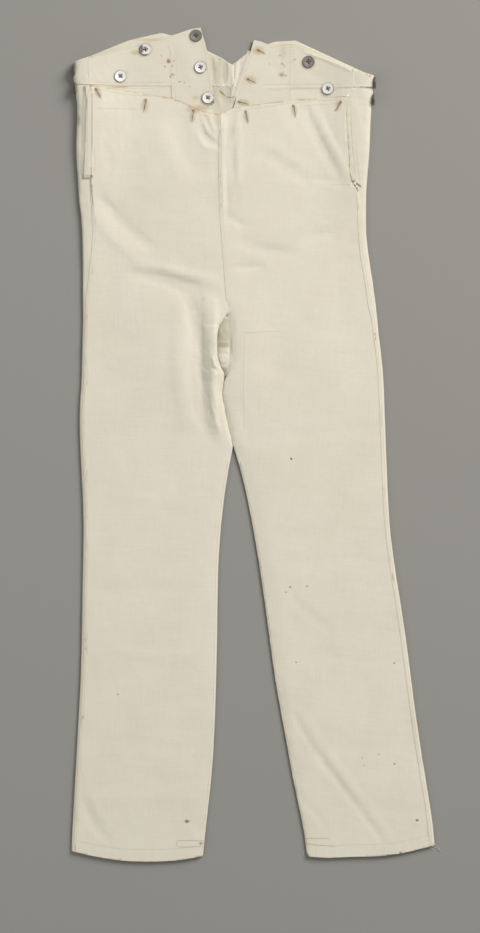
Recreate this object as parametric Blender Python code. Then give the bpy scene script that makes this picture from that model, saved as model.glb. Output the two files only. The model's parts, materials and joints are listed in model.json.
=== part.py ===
"""Fall-front trousers laid flat on their back.

Frame: +Y towards the waist, +X towards the wearer's left, +Z up, with the back on Z = 0.
The tables are in millimetres. "down" runs from the highest corner of the waist to the hem,
"across" from the middle of the garment, positive to the wearer's left, and heights from Z = 0.
"""
import math

import bmesh
import bpy
import numpy as np
from mathutils import Matrix, Vector

MM = 0.001

# Driving sizes
CLOTH = 1.2
BAND_CLOTH = 1.8
GAP = 0.3
MIDDLE = 554.0
CROTCH = 556.0
HEM = 1100.0
HEM_BEND = 1000.0
# The fall's open sides end here, and a little below the fronts have settled onto the backs
SLIT_END = 205.0
SETTLED = 240.0
# Lowest middle of the fronts' cloth, how softly folds end there, and their distance from the seams
LOWEST = 2.3
SOFTNESS = 0.5
SEAM_CALM = 14.0
# Half of a flat leg's height, where front and back meet along the inner leg
FOLD_HEIGHT = 2.4
BUTTON_RADIUS = 8.0
BUTTON_HEIGHT = 2.6
BUTTON_HOLE = 0.95
BUTTON_HOLE_PLACE = 1.9
SIDE_BUTTON_HEIGHT = 8.6
SLIT_LENGTH = 15.0
SLIT_WIDTH = 1.3
SLIT_CUT_LOW, SLIT_CUT_HIGH = -5.0, 30.0
# The strips along the fall's open sides lie this much below the fall's own cloth
PLACKET_DROP = 0.2


def table(columns, *rows):
    """A short table: a row for each section, its columns by name."""
    return {name: np.array(values, float) for name, values in zip(columns.split(), zip(*rows))}


# Outer edge of each leg, and how far inside it the side seam lies
SIDE_RIGHT = table(
    "down outer inset",
    (40, -238.0, 18.5), (65, -239.0, 18.5), (84, -235.5, 20.0), (109, -232.0, 17.0), (162, -233.5, 18.0),
    (205, -232.0, 15.5), (229, -231.5, 17.0), (282, -228.0, 15.0), (333, -227.5, 9.5), (370, -227.5, 5.2),
    (463, -229.0, 4.8), (519, -232.0, 4.8), (579, -230.0, 4.8), (658, -226.5, 4.8), (710, -227.5, 4.8),
    (854, -230.0, 4.8), (928, -234.0, 4.8), (1025, -239.5, 4.8), (1094, -243.0, 4.8))
SIDE_LEFT = table(
    "down outer inset",
    (60, 159.6, 29.3), (80, 158.8, 29.3), (92, 157.2, 34.8), (129, 154.7, 31.5), (162, 153.5, 28.5),
    (205, 150.0, 21.0), (218, 149.0, 10.5), (267, 148.7, 9.0), (301, 152.0, 9.0), (335, 157.4, 9.0),
    (376, 162.8, 8.5), (394, 164.4, 5.4), (468, 172.0, 5.0), (556, 175.3, 4.8), (662, 180.3, 4.8),
    (753, 193.0, 4.8), (813, 202.0, 4.8), (931, 217.5, 4.8), (1041, 235.0, 4.8), (1086, 241.5, 4.8))

# Inner edge of each leg below the crotch
INSIDE_RIGHT = table(
    "down edge",
    (556, -27.6), (594, -35.2), (633, -40.8), (680, -45.4), (733, -48.3), (787, -48.7), (854, -50.0),
    (920, -52.0), (962, -54.0), (1015, -58.5), (1052, -62.8), (1101, -68.0))
INSIDE_LEFT = table(
    "down edge",
    (556, -27.6), (600, -14.4), (642, -5.6), (678, 1.1), (733, 9.8), (788, 17.6), (864, 27.8),
    (938, 41.1), (999, 52.1), (1041, 60.9), (1068, 66.3), (1101, 70.5))

# Centre front seam, and how far it gapes to each side between the fall and the crotch
CENTRE_FRONT = table(
    "down line gape_right gape_left",
    (70, -44.6, 0, 0), (155, -45.2, 0, 0), (229, -43.9, 0, 0), (295, -40.0, 0, 0), (350, -35.5, 0, 0),
    (376, -33.3, 0, 0), (384, -33.0, 4.0, 2.2), (394, -33.0, 12.5, 3.5), (412, -33.0, 16.3, 3.7),
    (430, -33.4, 15.6, 4.1), (446, -35.0, 11.5, 5.5), (455, -37.0, 5.0, 5.2), (463, -38.2, 0.6, 2.0),
    (470, -39.9, 0, 0), (488, -42.4, 0, 0), (501, -40.0, 0, 0), (528, -34.6, 0, 0), (556, -27.6, 0, 0))
CENTRE_BACK = table("down line", (40, -29.3), (300, -29.6), (480, -29.6), (556, -27.6))

# Upper and lower ends of the pieces, as lines across the garment
BACK_TOP = table(
    "across down",
    (-240, 46.0), (-211.5, 36.6), (-178, 21.3), (-145, 9.3), (-127, 6.5), (-105, 10.5), (-78, 22.0),
    (-52, 35.9), (-40, 41.2), (-34.6, 46.4), (-29.3, 48.5), (-21.3, 43.9), (-14.6, 37.2), (-5.3, 31.3),
    (18.6, 21.5), (34.6, 16.6), (47.9, 15.3), (61.2, 19.3), (101, 38.6), (133, 57.2), (157, 63.8),
    (161, 68.0))
BAND_TOP = table(
    "across down",
    (-222, 43.0), (-205, 36.5), (-178, 29.3), (-155.6, 22.6), (-138.3, 16.0), (-113, 11.5), (-71.2, 0.0),
    (-1, 16.2), (10.6, 18.6), (19.5, 22.6), (48, 24.3), (61.2, 29.3), (85.1, 38.6), (121, 53.2),
    (131, 59.0))
FALL_TOP = table(
    "across down",
    (-218, 77.5), (-142, 89.0), (-112, 93.5), (-79, 106.8), (-56, 115.4), (-42.6, 115.0), (-30.6, 108.0),
    (-10, 104.2), (18.6, 100.4), (56, 96.2), (124, 91.8))
BAND_LOW = table("across down", (-245, 76.0), (165, 80.0))
HEM_RIGHT = table(
    "across down",
    (-243, 1093.9), (-211.7, 1101.2), (-170, 1107.2), (-141, 1108.4), (-104, 1106.6), (-77, 1102.6),
    (-68, 1100.6))
HEM_LEFT = table(
    "across down",
    (70, 1101.0), (96, 1103.2), (129, 1101.8), (166, 1101.0), (195.5, 1097.3), (217.5, 1092.0),
    (242, 1086.0))

# The button stand's seam and edge, and the same of its partner with the buttonholes
STAND_RIGHT = table(
    "down seam edge",
    (0, -114.0, -71.2), (8, -113.6, -67.8), (20, -112.8, -65.2), (33, -111.8, -61.8), (70, -110.2, -56.6),
    (112, -108.4, -50.5), (150, -107.4, -46.5))
STAND_LEFT = table(
    "down seam edge",
    (16, 47.9, 0.0), (26, 47.9, -2.6), (40, 47.9, -7.0), (92, 47.9, -22.6), (112, 47.9, -28.6),
    (140, 47.9, -37.0))

# The strips along the fall's open sides
PLACKET_RIGHT = table("down width", (78, 6.8), (140, 7.4), (200, 9.0))
PLACKET_LEFT = table("down width", (90, 4.6), (129, 3.6), (162, 5.0), (204, 5.6))

# Heights: the folded outer edge, the upper layer in between, how far the fall lies over what it
# covers, how wide the rise to the edge is, and how far the panels' inner edges curl
HEIGHTS = table(
    "down edge upper over rise curl_front curl_back",
    (0, 13.0, 3.2, 2.7, 78, 0, 0), (90, 13.0, 3.2, 2.7, 78, 0, 0), (165, 10.6, 3.4, 2.4, 74, 0, 0),
    (205, 8.8, 3.9, 1.8, 66, 0, 0), (240, 7.8, 4.5, 0.7, 60, 0, 0), (310, 6.6, 5.2, 0, 50, 0, 0),
    (350, 6.0, 5.2, 0, 44, 0, 0), (394, 5.8, 5.1, 0, 40, 0.35, 0), (446, 5.6, 4.9, 0, 40, 0.35, 0),
    (470, 5.6, 4.8, 0, 40, 0.5, 0), (501, 5.5, 4.8, 0, 40, 0.8, 0), (528, 5.4, 4.7, 0, 40, 1, 0.5),
    (556, 5.4, 4.6, 0, 40, 1, 1), (800, 5.0, 4.3, 0, 40, 1, 1), (1101, 4.8, 4.2, 0, 40, 1, 1))

# Folds of the fronts: three points on the line of each, its reach to the wearer's right and left
# of that line, and its height, negative for a trough
FOLDS = table(
    "x0 d0 x1 d1 x2 d2 right left height",
    (-66, 96, -60, 128, -47, 156, 5, 9, -2.4),
    (-24, 96, -31, 124, -43, 152, 9, 5, -2.4),
    (-46, 90, -46, 120, -46, 150, 12, 12, 2.2),
    (-80, 132, -62, 162, -40, 149, 8, 8, -1.3),
    (-36, 160, -39, 205, -36, 256, 7, 9, -1.6),
    (-26, 130, -29, 170, -24, 214, 8, 7, -1.4),
    (-214, 212, -180, 256, -122, 302, 12, 9, -2.6),
    (-172, 326, -118, 333, -36, 356, 14, 12, -2.3),
    (-84, 350, -64, 430, -60, 545, 17, 7, -4.6),
    (-50, 372, -55, 450, -48, 556, 7, 6, 3.2),
    (-98, 104, -96, 150, -88, 206, 20, 16, -1.3),
    (64, 96, 96, 158, 124, 214, 10, 6, -3.0),
    (126, 206, 96, 204, 58, 198, 8, 8, -1.4),
    (0, 160, 46, 180, 80, 212, 10, 8, -1.6),
    (-42, 246, -26, 258, -8, 264, 7, 7, -1.6),
    (-22, 282, 20, 302, 66, 300, 9, 9, -1.8),
    (-28, 322, -6, 320, 14, 315, 7, 7, -1.6),
    (56, 284, 86, 280, 120, 262, 10, 10, -1.4),
    (34, 886, 98, 970, 188, 1108, 9, 7, -1.7),
    (40, 1018, 58, 1046, 80, 1074, 8, 7, -1.2),
    (40, 748, 72, 774, 108, 806, 11, 11, -1.2),
    (-234, 1012, -212, 1062, -184, 1092, 8, 8, -1.3))

# Broad fullness of the fronts: its middle, its reach across and down, and its height
FULLNESS = table(
    "across down wide long height",
    (-48, 440, 46, 115, 3.4), (-6, 430, 44, 120, 2.8), (-110, 165, 80, 85, 1.2), (36, 150, 90, 80, 1.3),
    (-130, 420, 60, 120, 0.9), (80, 420, 70, 130, 0.8), (-46, 130, 26, 34, 1.0))

# The crumpled cloth behind the gaping seam, and the gathers of the back inside the waist
RAISED = table(
    "x0 d0 x1 d1 x2 d2 right left height",
    (-47, 401, -38, 399, -29, 402, 10, 14, 4.0),
    (-46, 440, -39, 438, -32, 442, 9, 12, 4.8),
    (-51, 42, -52, 62, -49, 80, 5, 4, 1.5),
    (-36, 48, -35, 66, -38, 84, 4, 4, 1.2),
    (-29, 62, -28, 84, -31, 112, 5, 4, 1.6),
    (-20, 44, -24, 72, -27, 104, 4, 5, 1.3),
    (-43, 84, -40, 104, -42, 128, 5, 5, 1.4))

# Where each row of every panel lies, and the further rows that the folded fronts have
ROWS = [90, 104, 118, 133, 150, 168, 186, 205, 218, 232, 252, 274, 296, 318, 340, 360, 376, 387, 396, 405,
        414, 423, 432, 441, 450, 459, 470, 486, 506, 530, 556, 585, 622, 662, 706, 756, 812, 868, 920, 965,
        1005, 1040, 1070, HEM]
BACK_START = 78
BEARER_ROWS = [90, 104, 133, 168, 186]
FRONT_ROWS = sorted(ROWS + [97, 125, 242, 263, 285, 307, 329])

BUTTONHOLES = {
    "front_right": table("across down turn", (-207.5, 88.4, 29), (-145.6, 103.8, -8), (-81.5, 117.0, -9)),
    "front_left": table("across down turn", (-10.4, 118.4, 12), (53.6, 111.0, 11), (111.7, 104.4, -32)),
    "waistband_end_left": table("across down turn", (9.0, 32.3, 62), (-3.7, 70.9, 65), (-13.6, 100.6, 76)),
}
BUTTONS = {
    "button_front": table("across down", (-77.1, 10.6), (-71.2, 52.5), (-61.2, 93.1)),
    "button_brace_right": table("across down", (-144.3, 28.9), (-177.6, 64.6)),
    "button_brace_left": table("across down", (72.5, 45.4), (98.4, 81.1)),
}
SIDE_BUTTONS = {
    "button_side_right": table("down lean", (57.2, 12), (81.1, 12)),
    "button_side_left": table("down lean", (73.4, 0), (95.8, 0)),
}
BUTTON_PROFILE = table(
    "radius height", (7.5, 0), (BUTTON_RADIUS, 1.3), (7.0, BUTTON_HEIGHT), (4.6, 1.5))

COLOURS = {
    "linen": ((0.76, 0.70, 0.57), 0.92, 0.0),
    "linen_band": ((0.72, 0.66, 0.53), 0.92, 0.0),
    "steel": ((0.62, 0.60, 0.56), 0.38, 0.9),
}


def smooth(xs, ys):
    """A smooth line through a table's points, which doesn't overshoot them."""
    steps = np.diff(xs)
    slopes = np.diff(ys) / steps
    product = slopes[:-1] * slopes[1:]
    total = np.where(product > 0, slopes[:-1] + slopes[1:], 1.0)
    tangents = np.concatenate(([slopes[0]], np.where(product > 0, 2 * product / total, 0.0), [slopes[-1]]))

    def line(x):
        x = np.clip(x, xs[0], xs[-1])
        i = np.clip(np.searchsorted(xs, x, side="right") - 1, 0, len(steps) - 1)
        u = (x - xs[i]) / steps[i]
        level = ys[i] * (1 + 2 * u) * (1 - u) ** 2 + ys[i + 1] * u * u * (3 - 2 * u)
        return level + steps[i] * u * (1 - u) * (tangents[i] * (1 - u) - tangents[i + 1] * u)
    return line


def straight(line, stations):
    """The same line in straight runs between stations, so that neighbours share their edges."""
    levels = [float(line(station)) for station in stations]
    return lambda x: np.interp(x, stations, levels)


def step(x, low, high):
    """Rises smoothly from 0 at low to 1 at high."""
    u = np.clip((x - low) / (high - low), 0, 1)
    return u * u * (3 - 2 * u)


class Half:
    """One side of the garment: which way is outwards, and its edge lines going down."""

    def __init__(self, name, out, side, inside, gape, hem):
        self.name = name
        self.out = out
        stations = [40, 65, 80] + ROWS
        self.outer = straight(smooth(side["down"], side["outer"]), stations)
        inset = smooth(side["down"], side["inset"])
        self.seam = straight(lambda down: self.outer(down) - out * inset(down), stations)
        leg = smooth(inside["down"], inside["edge"])
        centre = smooth(CENTRE_FRONT["down"], CENTRE_FRONT["line"])
        opening = smooth(CENTRE_FRONT["down"], CENTRE_FRONT[gape])
        back = smooth(CENTRE_BACK["down"], CENTRE_BACK["line"])
        self.front_edge = straight(
            lambda down: leg(down) if down >= CROTCH else centre(down) + out * opening(down), FRONT_ROWS)
        self.back_edge = straight(
            lambda down: leg(down) if down >= CROTCH else back(down), FRONT_ROWS)
        self.hem = smooth(hem["across"], hem["down"])


RIGHT = Half("right", -1, SIDE_RIGHT, INSIDE_RIGHT, "gape_right", HEM_RIGHT)
LEFT = Half("left", 1, SIDE_LEFT, INSIDE_LEFT, "gape_left", HEM_LEFT)

edge_height, upper_height, over_height, rise_width, curl_front, curl_back = (
    smooth(HEIGHTS["down"], HEIGHTS[name])
    for name in ("edge", "upper", "over", "rise", "curl_front", "curl_back"))
back_top = smooth(BACK_TOP["across"], BACK_TOP["down"])
band_top = smooth(BAND_TOP["across"], BAND_TOP["down"])
fall_top = smooth(FALL_TOP["across"], FALL_TOP["down"])
band_low = smooth(BAND_LOW["across"], BAND_LOW["down"])


def low_edge(across):
    """Where the cloth begins below the waistband's seam."""
    return band_low(across) + GAP


def fold_heights(folds, across, down):
    """The sum of all folds at each point: soft waves beside a curved line, fading at its ends."""
    across, down = np.broadcast_arrays(np.asarray(across, float), np.asarray(down, float))
    total = np.zeros(across.shape)
    along = np.linspace(0, 1, 25)
    bend = np.stack([(1 - along) ** 2, 2 * along * (1 - along), along ** 2])
    fade = np.sin(math.pi * along) ** 0.5
    for row in range(len(folds["height"])):
        line_x = bend.T @ [folds[key][row] for key in ("x0", "x1", "x2")]
        line_d = bend.T @ [folds[key][row] for key in ("d0", "d1", "d2")]
        apart_x = across[..., None] - line_x
        apart_d = down[..., None] - line_d
        distance = np.hypot(apart_x, apart_d)
        nearest = distance.argmin(axis=-1)
        pick = lambda values: np.take_along_axis(values, nearest[..., None], axis=-1)[..., 0]
        tangent_x = np.gradient(line_x)[nearest]
        tangent_d = np.gradient(line_d)[nearest]
        turn = pick(apart_x) * tangent_d - pick(apart_d) * tangent_x
        reach = np.where(turn < 0, folds["right"][row], folds["left"][row])
        share = np.clip(pick(distance) / reach, 0, 1)
        total += folds["height"][row] * fade[nearest] * (0.5 + 0.5 * np.cos(math.pi * share))
    return total


def layer_height(across, down):
    """Middle of the upper layer under the fall: flat inside, rising to the folded outer edges."""
    height = upper_height(down)
    for half in (RIGHT, LEFT):
        inward = half.out * (half.outer(down) - across)
        fold = edge_height(down) / 2
        share = 1 - step(inward, fold, rise_width(down))
        height = height + (edge_height(down) - CLOTH / 2 - upper_height(down)) * share
    return height


def front_height(across, down):
    """Middle of the fronts' cloth: over the bearers at the fall, then the upper layer itself."""
    layer = layer_height(across, down) + over_height(down)
    fullness = np.zeros(np.shape(across + down))
    for row in range(len(FULLNESS["height"])):
        reach = np.hypot((across - FULLNESS["across"][row]) / FULLNESS["wide"][row],
                         (down - FULLNESS["down"][row]) / FULLNESS["long"][row])
        fullness = fullness + FULLNESS["height"][row] * (1 - step(reach, 0, 1))
    calm = 1.0
    for half in (RIGHT, LEFT):
        calm = calm * step(half.out * (half.seam(down) - across), 0, SEAM_CALM)
    under = np.where(down < SLIT_END, layer, LOWEST + (layer - LOWEST) * (1 - step(down, SLIT_END, SETTLED)))
    free = layer + calm * (fullness + fold_heights(FOLDS, across, down)) - under
    softened = SOFTNESS * np.logaddexp(0, free / SOFTNESS)
    return under + softened - SOFTNESS * math.log(2) * (down < SLIT_END)


def back_height(across, down):
    """How far the back is raised off the ground, in its gathers and behind the gaping seam."""
    return fold_heights(RAISED, across, down)


def normals(height, across, down):
    """Unit normals, across and up, of a height function's section."""
    slope = (height(across + 0.5, down) - height(across - 0.5, down)) / 1.0
    length = np.hypot(slope, 1)
    return -slope / length, 1 / length


def unit(across, up):
    length = np.hypot(across, up)
    return across / length, up / length


def spread(count, growth):
    """Shares from 0 to 1 in steps that shrink towards 1."""
    steps = growth ** np.arange(count)[::-1]
    return np.concatenate(([0], np.cumsum(steps) / steps.sum()))


def front_section(half):
    """A front's section: from the side seam over the folds to the inner edge, which curls down."""
    flat = spread(19, 1.06)
    share = np.concatenate((flat, np.ones(2)))
    angle = np.concatenate((np.zeros(len(flat)), np.radians([50, 90])))

    def section(down):
        seam = half.seam(down) - half.out * GAP / 2
        edge = half.front_edge(down) + half.out * GAP / 2
        level = front_height(edge + half.out * 2, down)
        reach = np.clip(level - FOLD_HEIGHT, 1.5, 6)
        curl = curl_front(down)
        grip = np.minimum(1, curl * (level - FOLD_HEIGHT) / 2)
        start = edge + half.out * (reach + CLOTH / 2 * unit(grip, 1 - grip)[0])
        across = seam + (start - seam) * share - half.out * reach * np.sin(angle)
        height = front_height(across, down)
        nx, nz = normals(front_height, across, down)
        upright = 1 - grip * (1 - np.cos(angle))
        nx, nz = unit(nx * upright - half.out * grip * np.sin(angle), nz * upright)
        drop = curl * (height - FOLD_HEIGHT - GAP / 2) * (1 - np.cos(angle))
        return across, height - drop, nx, nz
    return section, len(share)


def back_section(half, thickness, tops):
    """A back's section: flat below, round the outer edge, and over the top to the side seam."""
    curl_angles = np.radians([90] if thickness == CLOTH else [])
    flat = 1 - spread(8, 1.42)[::-1]
    turn = np.radians([30, 60, 90, 120, 150, 180])
    inner = np.concatenate((curl_angles, np.zeros(len(flat) + len(turn) + tops)))
    share = np.concatenate((np.zeros(len(curl_angles)), flat, np.ones(len(turn) + tops)))
    outer = np.concatenate((np.zeros(len(curl_angles) + len(flat)), turn, np.full(tops, math.pi)))
    top = np.concatenate((np.zeros(len(share) - tops), np.arange(1, tops + 1) / tops))

    def section(down):
        radius = (edge_height(down) - CLOTH) / 2
        edge = half.back_edge(down) + half.out * GAP / 2
        curl = curl_back(down) * (thickness == CLOTH)
        grip = np.minimum(1, 1.5 * curl)
        reach = (FOLD_HEIGHT - GAP / 2 - thickness / 2) * (thickness == CLOTH)
        start = edge + half.out * (reach + thickness / 2 * unit(grip, 1 - grip)[0])
        end = half.outer(down) - half.out * (radius + thickness / 2)
        seam = half.seam(down) + half.out * GAP / 2
        across = start + (end - start) * share - half.out * reach * np.sin(inner)
        across = across + half.out * radius * np.sin(outer) + (seam - end) * top
        low = thickness / 2 + curl * reach * (1 - np.cos(inner)) + back_height(across, down) * (outer == 0)
        height = low + radius * (1 - np.cos(outer))
        nx, nz = normals(back_height, across, down)
        upright = 1 - grip * (1 - np.cos(inner))
        nx, nz = unit(-nx * upright - half.out * grip * np.sin(inner), -nz * upright)
        nx = np.where(outer > 0, half.out * np.sin(outer), nx)
        nz = np.where(outer > 0, -np.cos(outer), nz)
        on_top = top > 0
        height = np.where(on_top, layer_height(across, down) + (thickness - CLOTH) / 2, height)
        tx, tz = normals(layer_height, across, down)
        return across, height, np.where(on_top, tx, nx), np.where(on_top, tz, nz)
    return section, len(share)


def strip_section(first, last, columns, height):
    """A plain strip's section between two edge lines, lying at a height function."""
    share = np.linspace(0, 1, columns + 1)

    def section(down):
        across = first(down) + (last(down) - first(down)) * share
        return across, height(across, down), *normals(height, across, down)
    return section, columns + 1


def bent_rows(downs, top, hem):
    """Rows at the given distances down that bend to the top line and to the hem."""
    first = downs[0]

    def row(down):
        def place(across):
            at_top = (top(across) - first) * max(0, (SLIT_END - down) / (SLIT_END - first))
            at_hem = (hem(across) - HEM) * max(0, (down - HEM_BEND) / (HEM - HEM_BEND)) if hem else 0
            return down + at_top + at_hem
        return place
    return [row(down) for down in downs]


def level_line(down):
    """A straight line across the garment."""
    return lambda across: np.full(np.shape(across), float(down))


def even_rows(top, low, count):
    """Rows in even steps between two lines across the garment."""
    return [lambda across, share=share: top(across) + (low(across) - top(across)) * share
            for share in np.linspace(0, 1, count + 1)]


def shell(name, section, rows, thickness, colour):
    """A wall of cloth through the given rows of a section, as one closed object."""
    place, count = section
    mesh = bmesh.new()
    outside, inside = [], []
    for row in rows:
        down = np.full(count, float(row(np.zeros(1))[0]))
        for _ in range(4):
            across, height, nx, nz = place(down)
            down = row(across)
        for side, loops in ((1, outside), (-1, inside)):
            xs = across + side * nx * thickness / 2
            zs = height + side * nz * thickness / 2
            loops.append([mesh.verts.new((x * MM, (MIDDLE - d) * MM, z * MM)) for x, d, z in zip(xs, down, zs)])
    for j in range(len(rows) - 1):
        for i in range(count - 1):
            mesh.faces.new((outside[j][i], outside[j][i + 1], outside[j + 1][i + 1], outside[j + 1][i]))
            mesh.faces.new((inside[j][i], inside[j + 1][i], inside[j + 1][i + 1], inside[j][i + 1]))
        for i in (0, count - 1):
            mesh.faces.new((outside[j][i], outside[j + 1][i], inside[j + 1][i], inside[j][i]))
    for j in (0, len(rows) - 1):
        for i in range(count - 1):
            mesh.faces.new((outside[j][i], inside[j][i], inside[j][i + 1], outside[j][i + 1]))
    bmesh.ops.recalc_face_normals(mesh, faces=mesh.faces)
    if mesh.calc_volume(signed=True) < 0:
        bmesh.ops.reverse_faces(mesh, faces=mesh.faces)
    return add_object(name, mesh, colour)


def add_object(name, mesh, colour):
    data = bpy.data.meshes.new(name)
    mesh.to_mesh(data)
    mesh.free()
    data.shade_smooth()
    data.set_sharp_from_angle(angle=math.radians(40))
    data.materials.append(material(colour))
    piece = bpy.data.objects.new(name, data)
    bpy.context.collection.objects.link(piece)
    return piece


def material(name):
    """The Principled material of this name, made when it is first asked for."""
    if name in bpy.data.materials:
        return bpy.data.materials[name]
    colour, roughness, metallic = COLOURS[name]
    finish = bpy.data.materials.new(name)
    finish.use_nodes = True
    shader = finish.node_tree.nodes["Principled BSDF"]
    shader.inputs["Base Color"].default_value = (*colour, 1)
    shader.inputs["Roughness"].default_value = roughness
    shader.inputs["Metallic"].default_value = metallic
    finish.diffuse_color = (*colour, 1)
    return finish


def cut(piece, cutter):
    """Takes the cutter's shape out of the piece."""
    cutter.hide_render = True
    cutter.display_type = "WIRE"
    modifier = piece.modifiers.new("cut", "BOOLEAN")
    modifier.operation = "DIFFERENCE"
    modifier.object = cutter


def make_buttonholes(piece, holes):
    """Cuts a narrow pointed slit through the piece for each button."""
    mesh = bmesh.new()
    half_length, half_width = SLIT_LENGTH / 2, SLIT_WIDTH / 2
    outline = [(0, -half_length), (half_width, -half_length * 0.7), (half_width, half_length * 0.7),
               (0, half_length), (-half_width, half_length * 0.7), (-half_width, -half_length * 0.7)]
    for across, down, turn in zip(holes["across"], holes["down"], holes["turn"]):
        rotation = Matrix.Rotation(math.radians(turn), 2)
        corners = [rotation @ Vector(corner) for corner in outline]
        base = [mesh.verts.new(((across + c.x) * MM, (MIDDLE - down + c.y) * MM, SLIT_CUT_LOW * MM))
                for c in corners]
        foot = mesh.faces.new(base)
        body = bmesh.ops.extrude_face_region(mesh, geom=[foot])
        raised = [item for item in body["geom"] if isinstance(item, bmesh.types.BMVert)]
        bmesh.ops.translate(mesh, verts=raised, vec=(0, 0, (SLIT_CUT_HIGH - SLIT_CUT_LOW) * MM))
    bmesh.ops.recalc_face_normals(mesh, faces=mesh.faces)
    cut(piece, add_object(piece.name + "_slits", mesh, "linen"))


def add_panels():
    """The backs with the legs, and the fronts with the broad fall."""
    for half in (RIGHT, LEFT):
        shell("back_" + half.name, back_section(half, CLOTH, 2),
              bent_rows([BACK_START] + ROWS, low_edge, half.hem), CLOTH, "linen")
        front = shell("front_" + half.name, front_section(half), bent_rows(FRONT_ROWS, fall_top, half.hem),
                      CLOTH, "linen")
        make_buttonholes(front, BUTTONHOLES[front.name])


def add_plackets():
    """The strips that bind the fall's open sides: they lie over the backs' edges."""
    def height(across, down):
        return layer_height(across, down) + over_height(down) - PLACKET_DROP

    for half, strip in ((RIGHT, PLACKET_RIGHT), (LEFT, PLACKET_LEFT)):
        width = smooth(strip["down"], strip["width"])
        inner = lambda down: half.seam(down) + half.out * GAP / 2
        outer = lambda down: inner(down) + half.out * width(down)
        shell("fall_placket_" + half.name, strip_section(inner, outer, 2, height),
              even_rows(fall_top, level_line(strip["down"][-1]), 8), CLOTH, "linen")


def add_waist():
    """Front bands, button stand and its partner, the bearers below them, and the back's bands."""
    def band_height(across, down):
        return layer_height(across, down) + (BAND_CLOTH - CLOTH) / 2

    for half, stand in ((RIGHT, STAND_RIGHT), (LEFT, STAND_LEFT)):
        seam = smooth(stand["down"], stand["seam"])
        edge = smooth(stand["down"], stand["edge"])
        shell("waistband_" + half.name,
              strip_section(lambda down: half.seam(down) - half.out * GAP / 2,
                            lambda down: seam(down) + half.out * GAP / 2, 9, band_height),
              even_rows(band_top, band_low, 4), BAND_CLOTH, "linen_band")
        end = shell("waistband_end_" + half.name,
                    strip_section(lambda down: seam(down) - half.out * GAP / 2, edge, 5, band_height),
                    even_rows(band_top, level_line(stand["down"][-1]), 9), BAND_CLOTH, "linen_band")
        if end.name in BUTTONHOLES:
            make_buttonholes(end, BUTTONHOLES[end.name])
        shell("bearer_" + half.name,
              strip_section(lambda down: half.seam(down) - half.out * 2 * GAP,
                            lambda down: seam(down) + half.out * GAP / 2, 8, layer_height),
              bent_rows([BACK_START] + BEARER_ROWS, low_edge, None), CLOTH, "linen")
        shell("back_band_" + half.name, back_section(half, BAND_CLOTH, 2), even_rows(back_top, band_low, 6),
              BAND_CLOTH, "linen_band")


def button_mesh():
    """A dished metal button with four holes, its back on Z = 0."""
    mesh = bmesh.new()
    points = [mesh.verts.new((radius * MM, 0, height * MM))
              for radius, height in zip(BUTTON_PROFILE["radius"], BUTTON_PROFILE["height"])]
    edges = [mesh.edges.new(pair) for pair in zip(points, points[1:])]
    bmesh.ops.spin(mesh, geom=points + edges, cent=(0, 0, 0), axis=(0, 0, 1), angle=2 * math.pi, steps=12,
                   use_merge=True)
    bmesh.ops.remove_doubles(mesh, verts=mesh.verts, dist=0.01 * MM)
    bmesh.ops.holes_fill(mesh, edges=mesh.edges)
    bmesh.ops.recalc_face_normals(mesh, faces=mesh.faces)
    blank = add_object("button_blank", mesh, "steel")
    holes = bmesh.new()
    for k in range(4):
        turn = Matrix.Rotation(math.radians(45 + 90 * k), 4, "Z")
        bmesh.ops.create_cone(
            holes, cap_ends=True, segments=5, radius1=BUTTON_HOLE * MM, radius2=BUTTON_HOLE * MM,
            depth=8 * BUTTON_HEIGHT * MM, matrix=turn @ Matrix.Translation((BUTTON_HOLE_PLACE * MM, 0, 0)))
    cutter = add_object("button_holes", holes, "steel")
    cut(blank, cutter)
    view = bpy.context.evaluated_depsgraph_get()
    data = bpy.data.meshes.new_from_object(blank.evaluated_get(view))
    bpy.data.objects.remove(blank)
    bpy.data.objects.remove(cutter)
    return data


def sew_on(name, data, point, normal):
    """A button with its back at the point, facing along the normal."""
    button = bpy.data.objects.new(name, data)
    button.rotation_euler = Vector(normal).to_track_quat("Z", "Y").to_euler()
    button.location = Vector(point) * MM
    bpy.context.collection.objects.link(button)


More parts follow.
